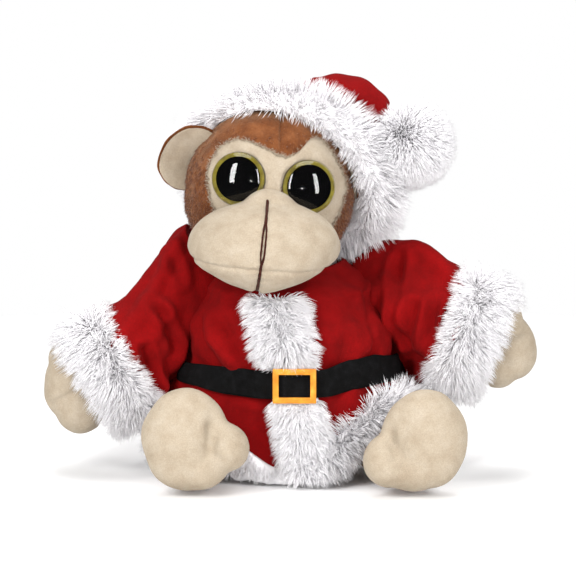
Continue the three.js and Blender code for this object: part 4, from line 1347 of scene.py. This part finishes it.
def make_hem():
    """The fur band hangs from the hem; one front corner is turned under and shows its short lining."""
    count = 240
    turn = full_turn(count)
    line, half, edge, lined = hem_band(turn)
    out = unit(np.stack([np.cos(turn), np.sin(turn), 0 * turn], axis=1))
    section = full_turn(16)
    rings = [line[i] + np.outer(np.cos(section), out[i] * 4.0)
             + np.outer(np.sin(section), vec(0, 0, half[i]))
             for i in range(count)]
    backing = lofted("hem_trim_backing", rings, [FUR_BACKING], closed=True)
    push(backing, lambda p, n: 0.5 * wave(p, 12, 112))
    clip_low(backing, 0.9)
    finish_piece(backing, ["hem_trim"], "trunk")
    rng = np.random.default_rng(111)

    def thickness(p):
        """More hairs in front, and most of them left of the trim."""
        share = 0.3 + 0.4 * (p[:, 1] < 5) + (p[:, 1] < -12) * (p[:, 0] > 2)
        return share * (p[:, 2] > 1.2)

    roots, normals = scatter(backing, hairs(13300), rng, thickness)
    around = np.arctan2(roots[:, 1] / 61, roots[:, 0] / 57) % (2 * math.pi)
    edge = np.interp(around, turn, edge, period=2 * math.pi)
    lined = np.interp(around, turn, lined, period=2 * math.pi)
    shown = (normals * unit(roots * vec(1, 1, 0))).sum(axis=1) > -0.35
    shown &= (lined < 0.5) | (roots[:, 2] < edge - 1)
    roots, normals, lined = roots[shown], normals[shown], lined[shown]
    ways = (normals * (0.85 - 0.5 * lined)[:, None] + vec(0, -0.1, -0.12)
            + vec(0, -0.1, -0.6) * lined[:, None])
    lengths = rng.uniform(7.5, 12.0, len(roots)) * (1 - 0.45 * lined)
    tips = roots + unit(ways) * lengths[:, None]
    free = tips[:, 2] > 0.6
    foot_size = vec(23, 12.5, 24.5)
    for _, _, foot in LEGS.values():
        free &= outside(tips, foot, foot_size) & outside((tips + roots) / 2, foot, foot_size)
    made = fur("hem_trim_fur", (roots - normals * 0.4)[free], ways[free], lengths[free],
               vec(0, 0, -0.1), rng, fur_whites("hem"),
               width=WHITE_HAIR, clump=0.62, clump_count=520, frizz=0.24)
    clip_low(made, 0.3)
    finish_piece(made, [], "trunk")


# The strap's height and half width from side to side across the front.
STRAP = np.array([[-49, 47.2, 4.8], [-42, 48.4, 5.2], [-29, 48.4, 6.2], [-12, 48.4, 6.6], [2, 48.4, 6.4],
                  [17, 48.9, 6.4], [28, 51.0, 6.9], [40, 51.8, 6.9], [49, 50.0, 5.4]])


def belt_grid(offset, rows, columns=300):
    turn = full_turn(columns)
    middle = -math.pi / 2 + trim_middle(WAIST) / 51
    away = np.abs((turn - middle + math.pi) % (2 * math.pi) - math.pi)
    over = 3.0 * (1 - smooth(away, 0.26, 0.5))
    flat = coat_place(turn, np.full(columns, WAIST))
    front = smooth(-flat[:, 1], 0, 14)
    height = WAIST * (1 - front) + np.interp(flat[:, 0], STRAP[:, 0], STRAP[:, 1]) * front
    half = 5.8 * (1 - front) + np.interp(flat[:, 0], STRAP[:, 0], STRAP[:, 2]) * front
    grid = []
    for share in np.linspace(-1, 1, rows):
        bow = 0.5 * share * np.sin(7 * turn + 0.8) + 0.35 * np.sin(4 * turn + 2.2 * share)
        ring = coat_place(turn, WAIST + share * half * 0.6, offset + over + bow * (1 - 0.8 * (away < 0.3)))
        ring[:, 2] = height + share * half
        grid.append(ring)
    return np.array(grid)


def make_belt():
    made = shell("belt_strap", belt_grid(2.3, 12), belt_grid(1.0, 12), [BLACK_STRAP], True)
    finish_piece(made, ["belt"], "trunk")


def make_buckle():
    """A frame with mitred corners and softened edges."""
    half_w, half_h, bar, thick = 8.8, 6.8, 1.4, 1.0
    centre = vec(2, -64.35, 48.5)
    rings = [np.array([centre + vec(x * (half_w + a * bar), b * thick, z * (half_h + a * bar))
                       for a, b in ((1, 1), (-1, 1), (-1, -1), (1, -1))])
             for x, z in ((1, 1), (-1, 1), (-1, -1), (1, -1))]
    made = lofted("buckle_frame", rings, [BUCKLE], closed=True)
    bevel = made.modifiers.new("soft_edges", "BEVEL")
    bevel.width = 0.45 * MM
    bevel.segments = 3
    bevel.limit_method = "ANGLE"
    apply_modifiers(made)
    finish_piece(made, ["buckle"], "trunk")


# ---- hat and pompom ----

def cut_away(made, cutter):
    tool = made.modifiers.new("cut", "BOOLEAN")
    tool.operation = "DIFFERENCE"
    tool.solver = "EXACT"
    tool.object = cutter
    apply_modifiers(made)
    bpy.data.objects.remove(cutter)


def make_hat_crown():
    """A soft shell over the back of the head that runs out to a short tip on one side."""
    lumps = [(HEAD_RADII + 6.8, HEAD, 0)]
    tips = [((2, 16, 157), 22), ((9, 15, 162), 18), ((16, 13, 166.5), 16.6), ((23, 11, 169.3), 15.6),
            ((30, 8.5, 170), 13.8), ((35.5, 6.5, 168.5), 11.8), ((40, 5, 165.6), 9.4), ((43, 4, 163), 6.8)]
    lumps += [((r, r, r), c, 0) for c, r in tips]
    made = merged_lumps("hat_crown_cloth", lumps, RED_VELOUR, 1.5, 12)

    def shape(p, n):
        total = 0.7 * wave(p, 30, 121) + 0.35 * wave(p, 12, 122)
        for a, b, size, width in (((14, -6, 172), (34, -4, 158), -2.2, 3.0),
                                  ((26, -4, 180), (38, -2, 168), 1.8, 3.5),
                                  ((6, 10, 182), (30, -4, 176), 1.2, 4.0),
                                  ((-30, 30, 165), (20, 38, 140), 2.0, 7.0),
                                  ((-34, 36, 140), (18, 42, 118), 1.8, 6.0)):
            away, along = near_line(p, a, b)
            total += size * falloff(away, width) * np.sin(np.clip(along * 0.8 + 0.1, 0, 1) * math.pi)
        return total

    push(made, shape)
    places, faces = ball(HEAD_RADII + 2.0, HEAD, 64, 40)
    cut_away(made, mesh_object("head_room", places, faces, [RED_VELOUR]))
    turn = full_turn(48)
    line = brim_place(turn)
    wide = line + 30 * np.stack([np.cos(turn), 0 * turn, np.sin(turn)], axis=1)
    front = wide + vec(0, -70, 0)
    places = np.concatenate([line.mean(axis=0)[None] + vec(0, 2, 0), wide, front, front.mean(axis=0)[None]])
    faces = []
    for i in range(48):
        j = (i + 1) % 48
        faces += [(0, 1 + i, 1 + j), (1 + i, 49 + i, 49 + j, 1 + j), (97, 49 + j, 49 + i)]
    cutter = mesh_object("front_room", places, faces, [RED_VELOUR])
    outward(cutter)
    cut_away(made, cutter)
    box_places = np.array([(x, y, z) for x in (-90, 90) for y in (-90, 90) for z in (20, 97)], float)
    box_faces = [(0, 1, 3, 2), (4, 6, 7, 5), (0, 4, 5, 1), (2, 3, 7, 6), (0, 2, 6, 4), (1, 5, 7, 3)]
    cutter = mesh_object("low_room", box_places, box_faces, [RED_VELOUR])
    outward(cutter)
    cut_away(made, cutter)
    finish_piece(made, ["hat_crown"], "hat")


def off_head(ring):
    """The ring, moved out wherever it would touch the head."""
    reach = np.sqrt((((ring - HEAD) / HEAD_RADII) ** 2).sum(axis=1))
    return HEAD + (ring - HEAD) * np.maximum(1, 1.016 / reach)[:, None]


def make_hat_brim():
    count, sides = 180, 20
    turn = full_turn(count)
    line = brim_place(turn)
    out = np.stack([np.cos(turn), 0 * turn, np.sin(turn)], axis=1)
    size = 8.2 + 1.2 * np.cos(turn + 0.5)
    t = full_turn(sides)
    rings = [line[i] + np.outer(np.cos(t), out[i] * size[i] * 0.95) + np.outer(np.sin(t),
                                                                               vec(0, size[i], 0))
             for i in range(count)]
    rings = [off_head(r) for r in rings]
    backing = lofted("hat_brim_backing", rings, [FUR_BACKING], closed=True)
    finish_piece(backing, ["hat_brim"], "hat")
    rng = np.random.default_rng(131)
    roots, normals = scatter(backing, hairs(13200), rng)
    inward = unit(HEAD - roots)
    facing = (normals * inward).sum(axis=1)
    keep = facing < 0.7
    roots, normals, inward, facing = roots[keep], normals[keep], inward[keep], facing[keep]
    front = smooth(facing, -0.3, 0.3) * (normals[:, 1] < 0.3)
    ways = normals * (0.85 - 0.45 * front)[:, None] - inward * (0.3 - 0.42 * front)[:, None]
    ways += vec(0, -0.12, -0.1) + vec(0, -0.55, 0) * front[:, None]
    lengths = rng.uniform(8.5, 13.5, len(roots)) * (1 - 0.45 * smooth(facing, -0.1, 0.5))
    lengths *= 1 - 0.6 * smooth(-roots[:, 0], 36, 43) * (1 - smooth(roots[:, 2], 138, 148))
    tips = roots + unit(ways) * lengths[:, None]
    free = outside(tips, HEAD, HEAD_RADII + 0.4) & outside(tips, EAR + vec(0, -2, 0), vec(17, 6, 18))
    made = fur("hat_brim_fur", (roots - normals * 0.4)[free], ways[free], lengths[free],
               vec(0, 0, -0.12), rng, fur_whites("brim"),
               width=WHITE_HAIR, clump=0.62, clump_count=520, frizz=0.24)
    finish_piece(made, [], "hat")


def make_pompom():
    centre = vec(56.5, 1, 153.6)
    places, faces = ball((13.6, 13.6, 13.6), centre, 48, 32)
    made = mesh_object("pompom_core", places, faces, [FUR_BACKING])
    finish_piece(made, ["pompom"], "pompom_ball")
    rng = np.random.default_rng(141)
    roots, normals = scatter(made, hairs(12300), rng)
    tie = vec(44.2, 3.4, 162.4)
    away = unit(roots - tie)
    ways = normals * 0.8 + away * 0.35
    lengths = rng.uniform(8.6, 10.4, len(roots)) + 1.2 * rng.random(len(roots)) ** 4
    made = fur("pompom_fur", roots - normals * 0.5, ways, lengths, vec(0.02, 0, -0.1), rng,
               fur_whites("pompom"),
               width=0.5, clump=0.4, clump_count=900, frizz=0.2)
    finish_piece(made, [], "pompom_ball")
    places, faces = ball((2.9, 2.9, 2.9), tie, 32, 20)
    knot = mesh_object("pompom_tie_thread", places, faces, [THREAD])
    push(knot, lambda p, n: 0.25 * np.sin(np.arctan2(p[:, 2] - tie[2], p[:, 0] - tie[0]) * 3 + p[:, 1] * 4))
    finish_piece(knot, ["pompom_tie"], "pompom_ball")


make_body()
for limb_side in LEGS:
    make_leg(limb_side)
    make_foot(limb_side)
make_coat()
for limb_side, limb in ARMS.items():
    make_arm(limb_side, limb)
    make_sleeve(limb_side, limb)
    make_hand(limb_side, limb)
    make_cuff(limb_side, limb)
make_front_trim()
make_hem()
make_belt()
make_buckle()
make_hat_crown()
make_hat_brim()
make_pompom()
